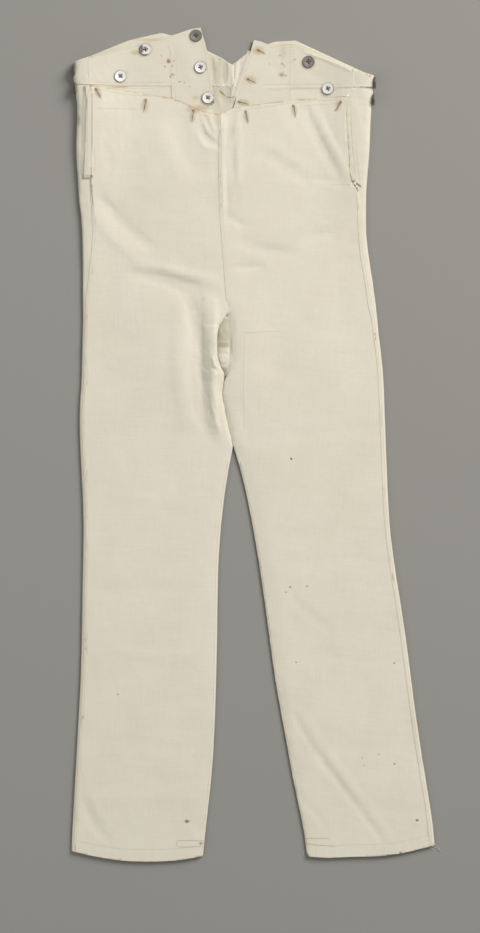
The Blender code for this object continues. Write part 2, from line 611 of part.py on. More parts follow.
def add_buttons():
    """Buttons flat on the bands, and buttons on edge at the folded sides of the waist."""
    data = button_mesh()
    top = lambda across, down: layer_height(across, down) + BAND_CLOTH - CLOTH / 2
    probe = BUTTON_RADIUS / 2
    around = np.linspace(0, 2 * math.pi, 24, endpoint=False)
    for name, places in BUTTONS.items():
        for number, (across, down) in enumerate(zip(places["across"], places["down"]), 1):
            slope_x = (top(across + probe, down) - top(across - probe, down)) / (2 * probe)
            slope_d = (top(across, down + probe) - top(across, down - probe)) / (2 * probe)
            normal = Vector((-slope_x, slope_d, 1)).normalized()
            rim_x = across + BUTTON_RADIUS * np.cos(around)
            rim_d = down + BUTTON_RADIUS * np.sin(around)
            rise = top(rim_x, rim_d) - top(across, down)
            above = rise * normal.z + (rim_x - across) * normal.x - (rim_d - down) * normal.y
            lift = max(0, above.max()) + GAP
            foot = Vector((across, MIDDLE - down, float(top(across, down)))) + normal * lift
            sew_on(f"{name}_{number}", data, foot, normal)
    for name, places in SIDE_BUTTONS.items():
        half = RIGHT if name.endswith("right") else LEFT
        for number, (down, lean) in enumerate(zip(places["down"], places["lean"]), 1):
            span = np.linspace(down - BUTTON_RADIUS, down + BUTTON_RADIUS, 9)
            outermost = half.out * max(half.out * half.outer(span))
            radius = (float(edge_height(down)) - CLOTH) / 2 + BAND_CLOTH / 2
            angle = math.radians(lean)
            slide = (SIDE_BUTTON_HEIGHT - radius - (radius + GAP) * math.sin(angle)) / math.cos(angle)
            x = outermost - half.out * radius + half.out * (radius + GAP) * math.cos(angle)
            foot = Vector((x - half.out * slide * math.sin(angle), MIDDLE - down, SIDE_BUTTON_HEIGHT))
            sew_on(f"{name}_{number}", data, foot, (half.out * math.cos(angle), 0, math.sin(angle)))


def stand_on_origin():
    """Moves everything so that the origin is the middle of the box, on the ground."""
    bpy.context.view_layer.update()
    view = bpy.context.evaluated_depsgraph_get()
    pieces = [piece for piece in bpy.context.scene.objects if not piece.hide_render]
    corners = []
    for piece in pieces:
        shape = piece.evaluated_get(view)
        corners += [shape.matrix_world @ vertex.co for vertex in shape.data.vertices]
    corners = np.array(corners)
    low, high = corners.min(axis=0), corners.max(axis=0)
    shift = Vector((-(low[0] + high[0]) / 2, -(low[1] + high[1]) / 2, -low[2]))
    for piece in bpy.context.scene.objects:
        piece.location = piece.location + shift


for old in list(bpy.data.objects):
    bpy.data.objects.remove(old, do_unlink=True)
add_panels()
add_plackets()
add_waist()
add_buttons()
stand_on_origin()
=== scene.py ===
"""Fall-front linen trousers laid flat on their back, seen from straight above."""
import json
import math

import bmesh
import bpy
import numpy as np
from mathutils import Matrix, Vector, noise
from mathutils.bvhtree import BVHTree

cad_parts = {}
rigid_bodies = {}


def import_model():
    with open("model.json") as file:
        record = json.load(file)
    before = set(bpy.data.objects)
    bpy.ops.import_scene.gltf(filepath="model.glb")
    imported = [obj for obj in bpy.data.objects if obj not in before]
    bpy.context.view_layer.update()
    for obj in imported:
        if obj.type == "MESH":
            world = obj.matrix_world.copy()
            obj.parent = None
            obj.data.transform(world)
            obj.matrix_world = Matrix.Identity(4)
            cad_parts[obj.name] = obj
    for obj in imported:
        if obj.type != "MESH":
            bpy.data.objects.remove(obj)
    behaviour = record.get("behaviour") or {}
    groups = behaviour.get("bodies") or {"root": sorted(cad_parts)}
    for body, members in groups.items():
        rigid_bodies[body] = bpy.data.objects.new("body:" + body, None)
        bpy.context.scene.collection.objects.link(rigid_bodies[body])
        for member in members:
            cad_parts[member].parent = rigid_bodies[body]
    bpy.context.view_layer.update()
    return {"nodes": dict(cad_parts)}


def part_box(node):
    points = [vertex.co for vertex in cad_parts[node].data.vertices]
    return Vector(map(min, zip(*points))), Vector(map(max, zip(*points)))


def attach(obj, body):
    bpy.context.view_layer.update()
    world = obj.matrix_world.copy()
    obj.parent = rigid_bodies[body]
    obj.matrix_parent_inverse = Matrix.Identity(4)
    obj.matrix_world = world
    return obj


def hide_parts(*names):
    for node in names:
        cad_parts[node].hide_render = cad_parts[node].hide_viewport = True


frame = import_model()

# The view. The photograph looks straight down on the table, its 933 pixels of height are 1.24 m
# of it, and places on the cloth are given as pixels of it. The light is soft, from the upper right.
PIXEL = 0.00133
MM = 0.001
PHOTO_WIDE, PHOTO_HIGH = 480, 933
BUTTON_PX, BUTTON_PY = 196.03, 35.97  # the middle of the uppermost front button in the photograph
VIEW_HEIGHT = 5.0
SENSOR = 24
TABLE_GREY = (0.305, 0.297, 0.268, 1)
button_low, button_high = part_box("button_front_1")
BUTTON_X = (button_low[0] + button_high[0]) / 2
BUTTON_Y = (button_low[1] + button_high[1]) / 2


def at(px, py):
    """Where a pixel of the photograph lies on the table, in metres."""
    return BUTTON_X + (px - BUTTON_PX) * PIXEL, BUTTON_Y - (py - BUTTON_PY) * PIXEL


def pixels(x, y):
    """The pixel of the photograph that shows a place on the table."""
    return (x - BUTTON_X) / PIXEL + BUTTON_PX, (BUTTON_Y - y) / PIXEL + BUTTON_PY


lens = bpy.data.cameras.new("view from above")
lens.sensor_fit = "VERTICAL"
lens.sensor_height = SENSOR
lens.lens = SENSOR * VIEW_HEIGHT / (PHOTO_HIGH * PIXEL)
camera = bpy.data.objects.new("view from above", lens)
camera.location = (*at(PHOTO_WIDE / 2, PHOTO_HIGH / 2), VIEW_HEIGHT)
bpy.context.collection.objects.link(camera)
bpy.context.scene.camera = camera

bpy.ops.mesh.primitive_plane_add(size=8, location=(0, 0, -0.3 * MM))
table_top = bpy.context.object
table_top.name = "table_top"
table_finish = bpy.data.materials.new("table paper")
table_finish.use_nodes = True
table_shader = table_finish.node_tree.nodes["Principled BSDF"]
table_shader.inputs["Base Color"].default_value = TABLE_GREY
table_shader.inputs["Roughness"].default_value = 0.95
table_top.data.materials.append(table_finish)


def soft_light(name, place, aim, size, power, colour):
    """A square soft box that faces a place on the table."""
    data = bpy.data.lights.new(name, "AREA")
    data.size = size
    data.energy = power
    data.color = colour
    box = bpy.data.objects.new(name, data)
    box.location = place
    box.rotation_euler = (Vector(aim) - Vector(place)).to_track_quat("-Z", "Y").to_euler()
    bpy.context.collection.objects.link(box)


soft_light("light from the upper right", place=(2.8, 2.9, 2.9), aim=(0, 0, 0),
           size=2.6, power=231, colour=(1, 0.985, 0.955))
soft_light("light from the left", place=(-2.2, -0.4, 2.0), aim=(0, -0.1, 0),
           size=2.2, power=13, colour=(0.97, 0.985, 1))
world = bpy.data.worlds.new("studio")
world.use_nodes = True
sky = world.node_tree.nodes["Background"].inputs
sky["Color"].default_value = (0.95, 0.97, 1, 1)
sky["Strength"].default_value = 0.34
bpy.context.scene.world = world
bpy.context.scene.view_settings.view_transform = "Standard"


# The linen. All the cloth is one slubby plain weave of off-white linen, washed soft. The threads
# follow each leg, and rims, folds and sweat have browned it a little. Three node groups hold the
# weave, the wear and one soft spot, used for stains and for painted shade, and each panel's own
# material places them with its own values.
def feed(tree, node, inputs):
    """Gives each named input of a node its value, or the output that feeds it."""
    for key, value in dict(inputs).items():
        if isinstance(value, bpy.types.NodeSocket):
            tree.links.new(value, node.inputs[key])
        else:
            node.inputs[key].default_value = value
    return node


def add_node(tree, kind, inputs=(), **settings):
    made = tree.nodes.new("ShaderNode" + kind)
    for key, value in settings.items():
        setattr(made, key, value)
    return feed(tree, made, inputs)


def new_group(name, inputs, outputs):
    """An empty node group with the given sockets, and its input and output nodes."""
    group = bpy.data.node_groups.new(name, "ShaderNodeTree")
    for title, kind, value in inputs:
        socket = group.interface.new_socket(title, in_out="INPUT", socket_type="NodeSocket" + kind)
        if value is not None:
            socket.default_value = value
    for title, kind in outputs:
        group.interface.new_socket(title, in_out="OUTPUT", socket_type="NodeSocket" + kind)
    return group, group.nodes.new("NodeGroupInput").outputs, group.nodes.new("NodeGroupOutput")


def maths(tree, kind, *inputs):
    return add_node(tree, "Math", dict(enumerate(inputs)), operation=kind).outputs[0]


def vectors(tree, kind, *inputs):
    return add_node(tree, "VectorMath", dict(enumerate(inputs)), operation=kind).outputs[0]


def cloud(tree, vector, scale, detail, roughness=0.5):
    """The outputs of a noise."""
    return add_node(tree, "TexNoise", {
        "Vector": vector, "Scale": scale, "Detail": detail, "Roughness": roughness}).outputs


def ramp(tree, value, low, high, kind="SMOOTHSTEP"):
    """How far a value is on its way from one level to the other."""
    return add_node(tree, "MapRange", {"Value": value, 1: low, 2: high}, interpolation_type=kind).outputs[0]


def mixed(tree, first, second, share, strength=None):
    """Two colours mixed by a share, times a strength if there is one."""
    if strength is not None:
        share = maths(tree, "MULTIPLY", share, strength)
    return add_node(tree, "Mix", {0: share, 6: first, 7: second}, data_type="RGBA").outputs[2]


def threads(tree, grain, across, along, low, high):
    """Long uneven streaks: a noise stretched along the threads, between two of its levels."""
    stretched = vectors(tree, "MULTIPLY", grain, (across, along, 1))
    return ramp(tree, cloud(tree, stretched, 1, 2, 0.6)["Fac"], low, high)


def new_finish(name, plain):
    """A new material, its node tree, its shader, and the places on the piece that wears it."""
    finish = bpy.data.materials.new(name)
    finish.use_nodes = True
    finish.diffuse_color = plain
    tree = finish.node_tree
    return finish, tree, tree.nodes["Principled BSDF"], add_node(tree, "TexCoord").outputs["Object"]


weave, sockets, result = new_group(
    "linen weave", [("Grain", "Vector", None), ("Pitch", "Float", 0.00075)],
    [("Slubs", "Float"), ("Bands", "Float"), ("Height", "Float")])
grain = sockets["Grain"]
slub_warp = threads(weave, grain, 1350, 26, 0.52, 0.72)
slub_weft = threads(weave, grain, 22, 1250, 0.52, 0.74)
band_weft = threads(weave, grain, 9, 330, 0.36, 0.68)
band_warp = threads(weave, grain, 290, 8, 0.36, 0.68)
drift = cloud(weave, grain, 160, 1)["Color"]
shifted = vectors(weave, "MULTIPLY_ADD", drift, (0.0006, 0.0006, 0), grain)
turns = maths(weave, "DIVIDE", math.pi, sockets["Pitch"])
scaled = add_node(weave, "VectorMath", {0: shifted, 3: turns}, operation="SCALE").outputs[0]
parts = add_node(weave, "SeparateXYZ", {0: scaled}).outputs
over_under = maths(weave, "MULTIPLY", maths(weave, "SINE", parts[0]), maths(weave, "SINE", parts[1]))
slubs = maths(weave, "ADD", slub_warp, slub_weft)
bands = maths(weave, "ADD", band_weft, maths(weave, "MULTIPLY", band_warp, 0.6))
raised = maths(weave, "MULTIPLY_ADD", slubs, 0.9, over_under)
feed(weave, result, {"Slubs": slubs, "Bands": bands,
                     "Height": maths(weave, "MULTIPLY_ADD", bands, 0.15, raised)})

wear, sockets, result = new_group(
    "wear", [("Position", "Vector", None), ("Edge", "Float", 0.0)],
    [("Mottle", "Float"), ("Browned", "Float"), ("Rumple", "Float")])
place = sockets["Position"]
ragged = ramp(wear, cloud(wear, place, 75, 3)["Fac"], 0.3, 0.62, "LINEAR")
feed(wear, result, {
    "Mottle": ramp(wear, cloud(wear, place, 11, 4, 0.62)["Fac"], 0.36, 0.66, "LINEAR"),
    "Browned": maths(wear, "MULTIPLY", maths(wear, "POWER", sockets["Edge"], 1.7), ragged),
    "Rumple": cloud(wear, place, 38, 3, 0.55)["Fac"]})

soft_spot, sockets, result = new_group("one stain", [
    ("Position", "Vector", None), ("Centre", "Vector", (0, 0, 0)), ("Stretch", "Vector", (1, 1, 0)),
    ("Core", "Float", 0.3), ("Strength", "Float", 1.0)], [("Mask", "Float")])
apart = vectors(soft_spot, "SUBTRACT", sockets["Position"], sockets["Centre"])
apart = vectors(soft_spot, "MULTIPLY", apart, sockets["Stretch"])
reach = add_node(soft_spot, "VectorMath", {0: apart}, operation="LENGTH").outputs["Value"]
feed(soft_spot, result, {"Mask": add_node(
    soft_spot, "MapRange", {"Value": reach, 1: 1.0, 2: sockets["Core"], 3: 0.0, 4: sockets["Strength"]},
    interpolation_type="SMOOTHSTEP").outputs[0]})

LINEN = (0.795, 0.735, 0.60, 1)
LINEN_SHADE = (0.69, 0.625, 0.49, 1)
LINEN_PALE = (0.88, 0.83, 0.70, 1)
BROWNED = (0.42, 0.28, 0.13, 1)
STAIN_BROWN = (0.27, 0.16, 0.065, 1)
RUST = (0.50, 0.33, 0.15, 1)
# A hole in the cloth, painted near black as the shade inside it.
HOLE_SHADOW = (0.05, 0.035, 0.02, 1)
# Painted shade, with some dirt, for the inside of the back where it shows through the openings.
SHADE_AND_DIRT = (0.36, 0.31, 0.18, 1)
SPOT_SPREAD = (3.2 * MM, 3.2 * MM, 0)


def spot_masks(tree, position, spots):
    """The largest mask of a list of soft spots (stains, rust, painted shade and painted reflection), each a
    row of pixel, reach in pixels, core and strength.
    """
    total = 0.0
    for px, py, wide, high, core, strength in spots:
        one = add_node(tree, "Group", {
            "Position": position, "Centre": (*at(px, py), 0), "Core": core, "Strength": strength,
            "Stretch": (1 / (wide * PIXEL), 1 / (high * PIXEL), 0)}, node_tree=soft_spot)
        total = maths(tree, "MAXIMUM", total, one.outputs[0])
    return total


def linen_finish(name, brown=(), rust=(), holes=(), shade_and_dirt=(), tone=1.0, soil=0.2):
    """The linen of one panel, with its own stains, rust halos, holes painted dark as the shade in them,
    painted shade with some dirt where the inside shows, and soiled rims.
    """
    plain, shade, pale = [(*(c * tone for c in colour[:3]), 1) for colour in (LINEN, LINEN_SHADE, LINEN_PALE)]
    finish, tree, shader, position = new_finish(name, plain)
    grain = add_node(tree, "UVMap", uv_map="grain").outputs[0]
    edge = add_node(tree, "Attribute", attribute_name="edge").outputs["Fac"]
    cloth = add_node(tree, "Group", {"Grain": grain}, node_tree=weave).outputs
    old = add_node(tree, "Group", {"Position": position, "Edge": edge}, node_tree=wear).outputs
    colour = mixed(tree, plain, shade, old["Mottle"], 0.34)
    colour = mixed(tree, colour, pale, cloth["Bands"], 0.08)
    colour = mixed(tree, colour, shade, cloth["Slubs"], 0.42)
    colour = mixed(tree, colour, BROWNED, old["Browned"], soil)
    jitter = vectors(tree, "SUBTRACT", cloud(tree, position, 420, 2)["Color"], (0.5, 0.5, 0.5))
    spread = vectors(tree, "MULTIPLY_ADD", jitter, SPOT_SPREAD, position)
    for tint, spots in ((SHADE_AND_DIRT, shade_and_dirt), (RUST, rust), (STAIN_BROWN, brown), (HOLE_SHADOW, holes)):
        if spots:
            colour = mixed(tree, colour, tint, spot_masks(tree, spread, spots))
    fine = add_node(tree, "Bump", {"Height": cloth["Height"], "Strength": 0.5, "Distance": 0.00012})
    broad = add_node(tree, "Bump", {"Height": old["Rumple"], "Strength": 0.5, "Distance": 0.0009,
                                    "Normal": fine.outputs[0]})
    feed(tree, shader, {
        "Base Color": colour, "Roughness": maths(tree, "MULTIPLY_ADD", cloth["Slubs"], -0.06, 0.93),
        "Sheen Weight": 0.12, "Sheen Roughness": 0.5, "Specular IOR Level": 0.25, "Normal": broad.outputs[0]})
    return finish


# How the cloth lies. Each panel is a thin shell on the form of its solid, made into a fine even net,
# and then creased: every crease is a line through pixels of the photograph, with its reach in
# pixels to either side and its height. All layers above the backs share the same creases.
# Stitching draws the panels together, so each rim reaches almost half across the solids' seam gap.
# A trough sinks only the face that shows, by no more than half of the cloth's thickness.
SEAM_DRAW = 0.13 * MM
SLIVER = 0.12 * MM
SHORTEST = 0.3 * MM
RIM_ANGLE = math.radians(50)
WALL_SLOPE = 0.12
STEEP = 0.6
SUNK = 0.6
FOLD_SLOPE = 0.36
RIM_CORNER = 0.6
LENGTHWISE = 0.85
SHARP_FOLD = math.radians(48)
FLAT_ROUNDS = 40
RIM_ROUNDS = 14
LEG_CELL, BAND_CELL, WALL_CELL = 3.8 * MM, 3.0 * MM, 1.9 * MM
TALL = 12 * MM  # only a panel taller than this has walls that need cutting across


def smooth_line(points, spacing=1.5):
    """A smooth line through pixels, as points about one spacing apart."""
    p = np.array(points, float)
    p = np.vstack((2 * p[0] - p[1], p, 2 * p[-1] - p[-2]))
    runs = []
    for a, b, c, d in zip(p, p[1:], p[2:], p[3:]):
        count = max(2, int(np.hypot(*(c - b)) / spacing) + 1)
        t = np.linspace(0, 1, count, endpoint=False)[:, None]
        runs.append(0.5 * (2 * b + (c - a) * t + (2 * a - 5 * b + 4 * c - d) * t ** 2
                           + (3 * b - a - 3 * c + d) * t ** 3))
    return np.vstack(runs + [p[-2:-1]])


def beside(line, px, py):
    """How far each place lies to the right of a line that is walked along, and its share of the way."""
    way = np.gradient(line, axis=0)
    away_x = px[:, None] - line[:, 0]
    away_y = py[:, None] - line[:, 1]
    nearest = (away_x ** 2 + away_y ** 2).argmin(axis=1)
    rows = np.arange(len(px))
    dx, dy = away_x[rows, nearest], away_y[rows, nearest]
    side = np.where(way[nearest, 0] * dy - way[nearest, 1] * dx > 0, 1.0, -1.0)
    return side * np.hypot(dx, dy), nearest / (len(line) - 1)


def crease_heights(creases, px, py, softness=1.6):
    """The sum of all creases, in millimetres: soft waves beside their lines, fading at both ends."""
    total = np.zeros(len(px))
    for points, right, left, height in creases:
        line, right, left = smooth_line(points), right * softness, left * softness
        low, high = line.min(axis=0) - max(right, left), line.max(axis=0) + max(right, left)
        near = np.nonzero((px > low[0]) & (px < high[0]) & (py > low[1]) & (py < high[1]))[0]
        if len(near):
            side, share = beside(line, px[near], py[near])
            reach = np.clip(np.abs(side) / np.where(side > 0, right, left), 0, 1)
            total[near] += height * np.sin(np.pi * share) ** 0.6 * (0.5 + 0.5 * np.cos(np.pi * reach))
    return total


SHORT_PUCKER, LONG_PUCKER, PUCKER_DRIFT = 1.35, 2.6, 9.0  # in pixels along the seam


def puckers(seams, px, py):
    """The small cross puckers that thread draws in beside a seam, in millimetres."""
    total = np.zeros(len(px))
    for points, reach, height in seams:
        line = smooth_line(points)
        length = np.hypot(*np.diff(line, axis=0).T).sum()
        side, share = beside(line, px, py)
        along = share * length
        beat = np.sin(along / SHORT_PUCKER + 1.7 * np.sin(along / PUCKER_DRIFT))
        beat += 0.6 * np.sin(along / LONG_PUCKER + 2.0)
        total += height * beat * np.exp(-(side / reach) ** 2) * ((share > 0) & (share < 1))
    return total


def settle(co, ends, on_rim, facing):
    """Evens out a net in place: the height of its flats, and the run of its rims and folded edges."""
    rim = np.zeros(len(co), bool)
    rim[ends[on_rim]] = True
    folded = ~rim & (np.abs(facing) < FOLD_SLOPE)
    way = co[ends[:, 1]] - co[ends[:, 0]]
    lengthwise = np.abs(way[:, 1]) > LENGTHWISE * np.linalg.norm(way, axis=1)
    start, stop = np.concatenate((ends, ends[:, ::-1])).T
    follows = np.where(rim[start], np.tile(on_rim, 2), ~folded[start] | np.tile(lengthwise, 2))
    start, stop = start[follows], stop[follows]
    number = np.bincount(start, minlength=len(co))
    step = co[stop] - co[start]
    weight = 1 / np.maximum(np.linalg.norm(step, axis=1), SHORTEST)
    whole = np.maximum(np.bincount(start, weight, len(co)), 1)
    step /= np.maximum(np.linalg.norm(step, axis=1), 1e-9)[:, None]
    bend = np.linalg.norm([np.bincount(start, step[:, k], len(co)) for k in range(3)], axis=0)
    held = (number == 0) | (rim & ((number != 2) | (bend > RIM_CORNER)))
    for turn in range(FLAT_ROUNDS):
        mean = np.stack([np.bincount(start, weight * co[stop, k], len(co)) for k in range(3)], axis=1)
        pull = 0.5 * (mean / whole[:, None] - co)
        pull[held] = 0
        pull[~rim & ~folded, :2] = 0
        pull[folded, 1] = 0
        if turn >= RIM_ROUNDS:
            pull[:, :2] = 0
        co += pull
    return rim


def lay_cloth(node, cell):
    """A copy of a node's mesh, cut into a fine even net and smoothed between its sharp rims."""
    piece = bpy.data.objects.new("cloth_" + node, frame["nodes"][node].data.copy())
    piece.data.materials.clear()
    bpy.context.collection.objects.link(piece)
    net = bmesh.new()
    net.from_mesh(piece.data)
    bmesh.ops.remove_doubles(net, verts=net.verts, dist=0.01 * MM)
    bmesh.ops.dissolve_limit(net, angle_limit=math.radians(0.3), verts=net.verts, edges=net.edges)
    low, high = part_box(node)
    for axis, gap in ((1, cell), (0, cell), (2, WALL_CELL)):
        normal = [0.0, 0.0, 0.0]
        normal[axis] = 1.0
        for level in np.arange(low[axis] + gap / 2, high[axis], gap):
            if axis < 2 or high[2] - low[2] > TALL:
                bmesh.ops.bisect_plane(net, geom=net.verts[:] + net.edges[:] + net.faces[:], dist=1e-6,
                                       plane_co=Vector(normal) * level, plane_no=normal)
    bmesh.ops.triangulate(net, faces=[face for face in net.faces if len(face.verts) > 4])
    bmesh.ops.dissolve_degenerate(net, dist=SLIVER, edges=net.edges)
    net.verts.index_update()
    net.normal_update()
    rim_edges = [edge for edge in net.edges if edge.calc_face_angle(0) > RIM_ANGLE]
    at_wall = np.array([any(abs(face.normal.z) < WALL_SLOPE for face in vert.link_faces)
                        for vert in net.verts])
    for vert in {vert for edge in rim_edges for vert in edge.verts}:
        walls = [face for face in vert.link_faces if abs(face.normal.z) < STEEP]
        outward = sum((face.normal * face.calc_area() for face in walls), Vector())
        outward.z = 0
        if outward.length > 0:
            vert.co += outward.normalized() * SEAM_DRAW
    co = np.array([vert.co for vert in net.verts])
    ends = np.array([[vert.index for vert in edge.verts] for edge in net.edges])
    on_rim = np.zeros(len(ends), bool)
    net.edges.index_update()
    on_rim[[edge.index for edge in rim_edges]] = True
    facing = [sum((face.normal * face.calc_area() for face in vert.link_faces), Vector()).normalized().z
              for vert in net.verts]
    rim = settle(co, ends, on_rim, np.array(facing))
    net.to_mesh(piece.data)
    net.free()
    piece.data.vertices.foreach_set("co", co.ravel())
    piece.data.update()
    return piece, rim & at_wall


def places(piece):
    """The vertices of a piece and their normals, as arrays."""
    co = np.empty(len(piece.data.vertices) * 3)
    piece.data.vertices.foreach_get("co", co)
    normals = np.empty(len(co))
    piece.data.vertices.foreach_get("normal", normals)
    return co.reshape(-1, 3), normals.reshape(-1, 3)


GRAIN_TURN = {"right": math.radians(1.1), "left": math.radians(-6.6)}
UPPER_CREASES = [  # line, reach to its right and to its left, height
    (((97, 190), (108, 207), (124, 226), (152, 248)), 5, 5, -0.8),
    (((90, 208), (102, 226), (118, 244), (144, 262)), 6, 7, 0.9),
    (((140, 274), (160, 279), (184, 288), (204, 300)), 6, 9, -1.2),
    (((176, 292), (188, 303), (199, 326)), 9, 7, -0.8),
    (((130, 265), (158, 269), (190, 276), (222, 284)), 6, 6, 1.6),
    (((198, 290), (199, 330), (198, 362), (200, 396), (204, 428)), 8, 4.5, -1.7),
    (((181, 292), (180, 330), (179, 365), (183, 405), (190, 432)), 9, 8, 1.5),
    (((213, 296), (214, 325), (213.5, 362), (213, 394), (217, 434)), 10, 4, 2.8),
    (((304, 106), (316, 133), (333, 165), (343, 187)), 6, 3, -1.0),
    (((311, 100), (324, 130), (341, 162), (349, 180)), 6, 4, 1.3),
    (((346, 186), (335, 182), (318, 179), (300, 177)), 3, 4, -0.5),
    (((207, 108), (210, 121), (216, 137)), 3, 3, 1.5),
    (((200, 126), (207, 139), (215, 144), (223, 141)), 4, 2.6, -1.2),
    (((202, 116), (207, 130), (215, 138.5), (220, 138)), 2.4, 2.6, 1.1),
    (((196, 132), (205, 146), (216, 150), (222, 149)), 4, 4, 0.8),
    (((239, 124), (237, 150), (238, 188)), 3, 5, 0.8),
    (((214, 112), (217, 124), (219, 136)), 2.6, 2.6, -0.7),
    (((223, 116), (222.5, 140), (222, 175), (223, 215)), 3.4, 3.4, 1.0),
    (((233, 112), (229, 126), (225, 142)), 2.6, 3.4, -0.9),
    (((240, 116), (234, 135), (228, 152)), 3, 4, 1.2),
    (((226, 160), (227, 190), (227, 218)), 2.6, 2.6, -0.6),
    (((234, 128), (232, 150), (233, 186)), 4, 4, -0.5),
    (((258, 151), (285, 167), (311, 186)), 5, 6, -0.5),
    (((262, 142), (288, 157), (314, 175)), 5, 6, 0.35),
    (((224, 214), (234, 221), (247, 226)), 3, 4, -0.6),
    (((238, 243), (270, 251), (302, 255)), 5, 5, -0.6),
    (((234, 268), (248, 268), (264, 265)), 3, 4, -0.7),
    (((298, 240), (318, 236), (341, 228)), 4, 5, -0.45),
    (((224, 402), (228, 422), (234, 446)), 2.6, 2.4, -0.9),
    (((240, 398), (246, 424), (250, 452)), 5, 4, -0.4),
    (((290, 708), (306, 738), (330, 772), (356, 806), (386, 846)), 2.6, 3.0, -1.0),
    (((298, 706), (313, 734), (337, 768), (364, 804), (393, 842)), 3.4, 6, 0.7),
    (((295, 789), (308, 806), (331, 831)), 3.4, 4, -0.6),
    (((289, 595), (308, 613), (331, 631)), 5, 5, -0.5),
    (((81, 798), (90, 818), (100, 832), (112, 843)), 4, 4, -0.8),
    (((88, 790), (98, 812), (110, 828)), 4, 4, 0.4),
    (((86, 430), (120, 434), (165, 431), (212, 436)), 6, 6, -0.3),
    (((244, 432), (290, 436), (340, 430), (382, 433)), 6, 6, -0.3),
    (((88, 500), (130, 497), (180, 503), (208, 499)), 6, 8, 0.3),
    (((86, 588), (126, 592), (166, 588), (206, 593)), 7, 6, -0.3),
    (((268, 560), (310, 566), (352, 560), (390, 563)), 7, 6, -0.26),
    (((84, 655), (120, 652), (165, 657), (205, 653)), 7, 7, 0.26),
    (((284, 660), (320, 655), (370, 662), (405, 657)), 6, 7, -0.28),
    (((84, 745), (125, 741), (170, 747), (208, 742)), 7, 6, -0.3),
    (((300, 756), (340, 748), (390, 752)), 7, 7, -0.26),
    (((76, 792), (120, 800), (160, 795), (205, 799)), 7, 7, 0.26),
    (((320, 815), (360, 806), (424, 812)), 7, 7, -0.24),
    (((95, 330), (120, 342), (150, 345)), 8, 8, -0.35),
    (((300, 320), (330, 330), (362, 326)), 8, 8, -0.35),
    (((250, 350), (285, 372), (330, 380)), 9, 8, -0.35),
    (((105, 250), (110, 290), (104, 330)), 8, 8, -0.3),
    (((345, 250), (340, 290), (348, 340)), 8, 8, -0.3),
    (((106, 144), (109, 160), (108, 182)), 4, 4, -0.5),
    (((170, 112), (184, 140), (204, 180)), 9, 9, -0.9),
    (((152, 118), (165, 148), (184, 182)), 9, 9, 0.4),
    (((275, 108), (286, 128), (300, 148)), 7, 6, 0.35),
    (((118, 108), (122, 130), (118, 152)), 7, 7, 0.3),
    (((244, 333), (262, 332), (281, 331)), 2.2, 2.2, 0.25),
    (((244, 334), (243, 380), (244, 430)), 2.2, 2.2, 0.2),
    (((104, 87), (118, 88), (130, 87), (158, 85)), 2.4, 2.4, -0.6),
    (((270, 90.5), (290, 88.5), (306, 87), (322, 85.5)), 2.4, 2.4, -0.6),
    (((308, 71), (316, 76), (326, 78)), 4, 4, -0.4),
    (((126, 60), (140, 66), (160, 70)), 6, 5, 0.3),
    (((268, 58), (276, 70), (284, 82)), 5, 5, -0.4),
    (((354, 78), (358, 97), (363, 118), (367, 132)), 3, 4, -0.8),
    (((172, 42), (173.5, 62), (172, 84)), 3, 3, -0.5),
    (((176, 40), (188, 60), (190, 90)), 6, 6, 0.3),
    (((195, 824), (200, 832), (203, 841)), 2.5, 2.5, -0.6),
    (((188, 826), (192, 834), (193, 842)), 2.5, 2.5, 0.4)]
INSIDE_GATHERS = [
    (((212, 50), (215, 62), (216, 74), (217.5, 92)), 2.4, 3.4, 2.2),
    (((221, 46), (221.5, 58), (219.5, 70), (221, 86), (224, 97)), 2.2, 2.8, 1.6),
    (((225, 54), (228, 64), (229, 76), (226, 88)), 2.0, 2.6, 1.5),
    (((238, 58), (236.5, 70), (234, 84), (231, 102)), 3.0, 2.0, 2.2),
    (((244, 50), (243, 62), (240, 74)), 2.0, 2.2, 1.0),
    (((216, 90), (219, 101), (223, 112)), 2.6, 2.6, 1.2),
    (((225.5, 300), (225.5, 345), (225.5, 390)), 12, 10, 3.6),
    (((212, 322), (224, 319), (237, 324)), 4, 4, 0.8),
    (((212, 334), (224, 331), (237, 335)), 3, 3, 0.7),
    (((212, 357), (224, 361), (237, 357)), 7, 7, 1.8)]
UNDER_CREASES = [
    (((110, 240), (150, 262), (205, 270)), 8, 8, 0.5),
    (((340, 235), (300, 262), (240, 272)), 8, 8, 0.5),
    (((190, 300), (200, 360), (198, 440)), 8, 7, 0.6),
    (((262, 300), (254, 360), (262, 430)), 8, 7, 0.6),
    (((95, 470), (150, 478), (205, 468)), 6, 6, 0.35),
    (((255, 480), (320, 470), (380, 482)), 6, 6, 0.35),
    (((90, 620), (140, 612), (205, 622)), 6, 6, 0.35),
    (((285, 640), (340, 650), (395, 640)), 6, 6, 0.35),
    (((90, 760), (130, 790), (160, 830)), 7, 7, 0.5),
    (((390, 730), (350, 780), (330, 835)), 7, 7, 0.5)]
SEAM_PUCKERS = [  # line, reach to either side, height
    (((221, 128), (221, 200), (224, 250), (229, 305)), 3.2, 0.16),
    (((91, 185), (94, 240), (86.6, 306), (84, 400), (85, 600), (78, 845)), 3.0, 0.15),
    (((357, 188), (361, 260), (374, 330), (381, 440), (392, 620), (432, 842)), 3.0, 0.15),
    (((231, 450), (214, 540), (213, 700), (203, 850)), 3.0, 0.13),
    (((234, 450), (255, 560), (280, 700), (307, 852)), 3.0, 0.13),
    (((80, 845), (120, 852), (160, 852), (202, 846)), 4.0, 0.14),
    (((308, 848), (350, 849), (400, 845), (434, 838)), 4.0, 0.14),
    (((90, 92), (150, 100), (190, 106), (212, 120), (232, 114), (262, 109), (346, 101)), 3.2, 0.12),
    (((96, 84), (150, 85), (166, 86)), 3.5, 0.14),
    (((264, 88), (300, 87), (345, 86)), 3.5, 0.14)]


